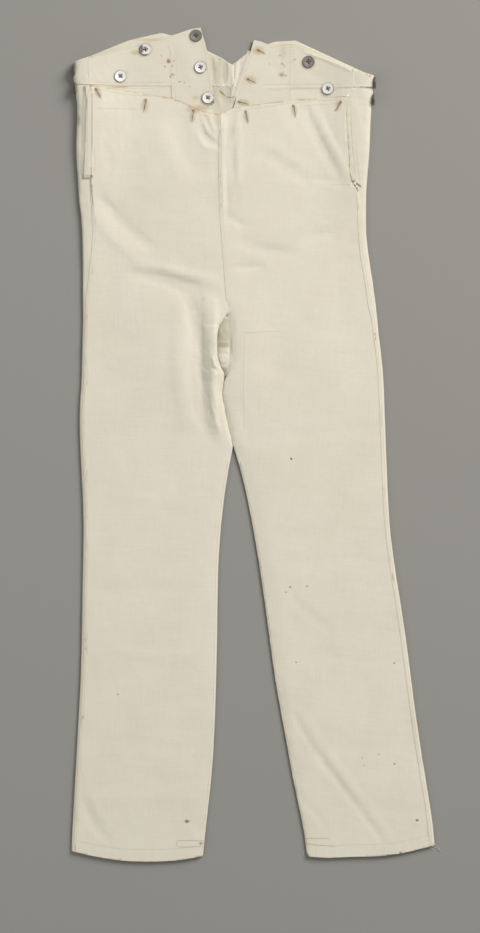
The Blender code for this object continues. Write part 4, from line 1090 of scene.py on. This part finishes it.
def button_finish(name, tin, tarnish, spots=()):
    """Tinned metal, its colour painted bright for reflected light in one finish and dark for reflected dark
    surroundings in the other, with rust round its holes, rust and painted shade round its rolled edge, and
    spots of painted dark reflection.
    """
    finish, tree, shader, position = new_finish(name, tin)
    dish = add_node(tree, "Attribute", attribute_name="dish").outputs["Fac"]
    bloom = cloud(tree, position, 260, 3, 0.6)["Fac"]
    from_edge = maths(tree, "ABSOLUTE", maths(tree, "SUBTRACT", dish, 1.0))
    # The rolled rim gets rust with painted shade and dark reflection; the well round the holes gets rust.
    rim = maths(tree, "MULTIPLY", ramp(tree, from_edge, 0.15, 0.04), 0.95)
    well = maths(tree, "MULTIPLY", ramp(tree, dish, 0.5, 0.34), 0.5)
    patchy = ramp(tree, bloom, 0.36, 0.6)
    colour = mixed(tree, tin, tarnish, patchy, 0.35)
    # Spots of painted dark reflection, such as the dark half of one brace button.
    for spot in spots:
        colour = mixed(tree, colour, PAINTED_DARK_REFLECTION, spot_masks(tree, position, [spot]))
    rust_and_rim_shade = maths(tree, "MAXIMUM", rim, well)
    colour = mixed(tree, colour, BUTTON_RUST_AND_SHADE, rust_and_rim_shade, maths(tree, "MULTIPLY_ADD", patchy, 0.5, 0.5))
    dents = add_node(tree, "Bump", {"Height": bloom, "Strength": 0.25, "Distance": 0.0003})
    feed(tree, shader, {
        "Base Color": colour, "Metallic": maths(tree, "MULTIPLY_ADD", rust_and_rim_shade, -0.3, 0.35),
        "Roughness": maths(tree, "MULTIPLY_ADD", patchy, 0.15, 0.38), "Normal": dents.outputs[0]})
    return finish


painted_bright = button_finish("bright tinned metal", (0.98, 0.97, 0.95, 1), (0.70, 0.66, 0.59, 1),
                       [(140.6, 49.8, 4.4, 7, 0.45, 0.85), (145, 55.2, 5, 1.6, 0.3, 0.6)])
painted_dark = button_finish("tarnished metal", (0.30, 0.28, 0.25, 1), (0.07, 0.06, 0.05, 1))
PAINTED_DARK_BUTTONS = ("button_front_1", "button_brace_left_1", "button_side_right_1", "button_side_right_2",
             "button_side_left_1", "button_side_left_2")
SIDE_TURN = 15
TURNS = {"button_front_1": 8, "button_front_2": 20, "button_front_3": 38, "button_brace_right_1": 12,
         "button_brace_right_2": 42, "button_brace_left_1": 5, "button_brace_left_2": 33}
THREAD_REACH = HOLE_PLACE + 0.7
THREAD_APART = 0.32
THREAD_LIFT = 1.45
THREAD_WIDTH = 0.8


def button_place(node):
    """The matrix that puts a new button on the back plane of a CAD button, its face outward."""
    mesh = frame["nodes"][node].data
    spread = sum((np.outer(face.normal, face.normal) * face.area for face in mesh.polygons), np.zeros((3, 3)))
    axis = Vector(np.linalg.eigh(spread)[1][:, 2])
    low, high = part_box(node)
    middle = (Vector(low) + Vector(high)) / 2
    outward = Vector((0, 0, 1)) if abs(axis.z) > 0.7 else Vector((middle.x, 0, 0))
    if axis.dot(outward) < 0:
        axis = -axis
    back = min((vert.co - middle).dot(axis) for vert in mesh.vertices)
    turn = axis.to_track_quat("Z", "Y").to_matrix().to_4x4()
    spin = Matrix.Rotation(math.radians(TURNS.get(node, SIDE_TURN)), 4, "Z")
    return Matrix.Translation(middle + axis * back) @ turn @ spin


thread_cross = []
for node in [name for name in frame["nodes"] if name.startswith("button_")]:
    place = button_place(node)
    button = bpy.data.objects.new("sewn_" + node, one_button.data.copy())
    bpy.context.collection.objects.link(button)
    dish = button.data.attributes.new("dish", "FLOAT", "POINT")
    dish.data.foreach_set("value", [
        min(1.0, vert.co.xy.length / (BUTTON_RADIUS * MM)) for vert in button.data.vertices])
    button.data.transform(place)
    button.data.materials.clear()
    button.data.materials.append(painted_dark if node in PAINTED_DARK_BUTTONS else painted_bright)
    button.data.shade_smooth()
    button.data.set_sharp_from_angle(angle=math.radians(50))
    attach(button, "root")
    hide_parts(node)
    for x, y, shift in ((1, 0, 1), (1, 0, -1), (0, 1, 1), (0, 1, -1)):
        middle = Vector((y, x, 0)) * shift * THREAD_APART * MM + Vector((0, 0, THREAD_LIFT * MM))
        half = Vector((x, y, 0)) * THREAD_REACH * MM
        ends = place @ (middle - half), place @ (middle + half)
        thread_cross.append(stitch_between(*ends, THREAD_WIDTH))
bpy.data.objects.remove(one_button)
sewn("button_threads", thread_cross, thread_finish("rusty button thread", (0.16, 0.085, 0.04, 1)))


# Loose ends: the button thread that hangs from the lowest front button, a thread behind the front
# placket, and the frayed corner of the left hem.
THREAD_SIDES = 6


def loose_threads(name, lines, finish, radius, lift):
    """One piece of closed thin tubes along lines of pixels, lying on the cloth or the table."""
    net = bmesh.new()
    for points in lines:
        way = [Vector((*at(*p), drop(*p).z + lift * MM)) for p in paced(points, 0.8)]
        rings = []
        for i, middle in enumerate(way):
            from_end = min(i, len(way) - 1 - i)
            ahead = (way[min(i + 1, len(way) - 1)] - way[max(i - 1, 0)]).normalized()
            right = ahead.cross(Vector((0, 0, 1))).normalized()
            thin = radius * MM * min(1, 0.35 + 0.3 * from_end)
            circle = [math.cos(a) * right + math.sin(a) * Vector((0, 0, 1))
                      for a in np.linspace(0, 2 * math.pi, THREAD_SIDES + 1)[:-1]]
            rings.append([net.verts.new(middle + thin * away) for away in circle])
        for one, two in zip(rings, rings[1:]):
            for k in range(THREAD_SIDES):
                net.faces.new((one[k - 1], one[k], two[k], two[k - 1]))
        net.faces.new(rings[0])
        net.faces.new(rings[-1])
    finish_piece(name, net, finish)


BUTTON_ENDS = [((211, 101), (213.4, 101.4), (211, 104), (207, 106.6)), ((212, 100), (214, 103), (210, 106))]
INNER_ENDS = [((219.6, 90.6), (222, 92.6), (225.4, 96.2)), ((226, 97), (231, 97.4), (235.4, 97)),
              ((236, 97), (235, 102), (233.4, 106.6))]
FRAYED_ENDS = [((429, 843.4), (433, 846.6), (437, 848), (441, 852)), ((431, 843), (436, 845), (439.6, 849.6)),
               ((304.6, 850), (303, 853), (304, 856.4)), ((428, 845), (432, 849), (434, 850.4))]
faded_thread = thread_finish("faded brown thread", (0.36, 0.27, 0.17, 1))
frayed_linen = thread_finish("frayed linen", (0.86, 0.82, 0.71, 1))
loose_threads("loose_button_thread", BUTTON_ENDS, brown_thread, radius=0.32, lift=0.4)
loose_threads("inner_loose_thread", INNER_ENDS, faded_thread, radius=0.3, lift=0.2)
loose_threads("frayed_hem_threads", FRAYED_ENDS, frayed_linen, radius=0.26, lift=0.3)
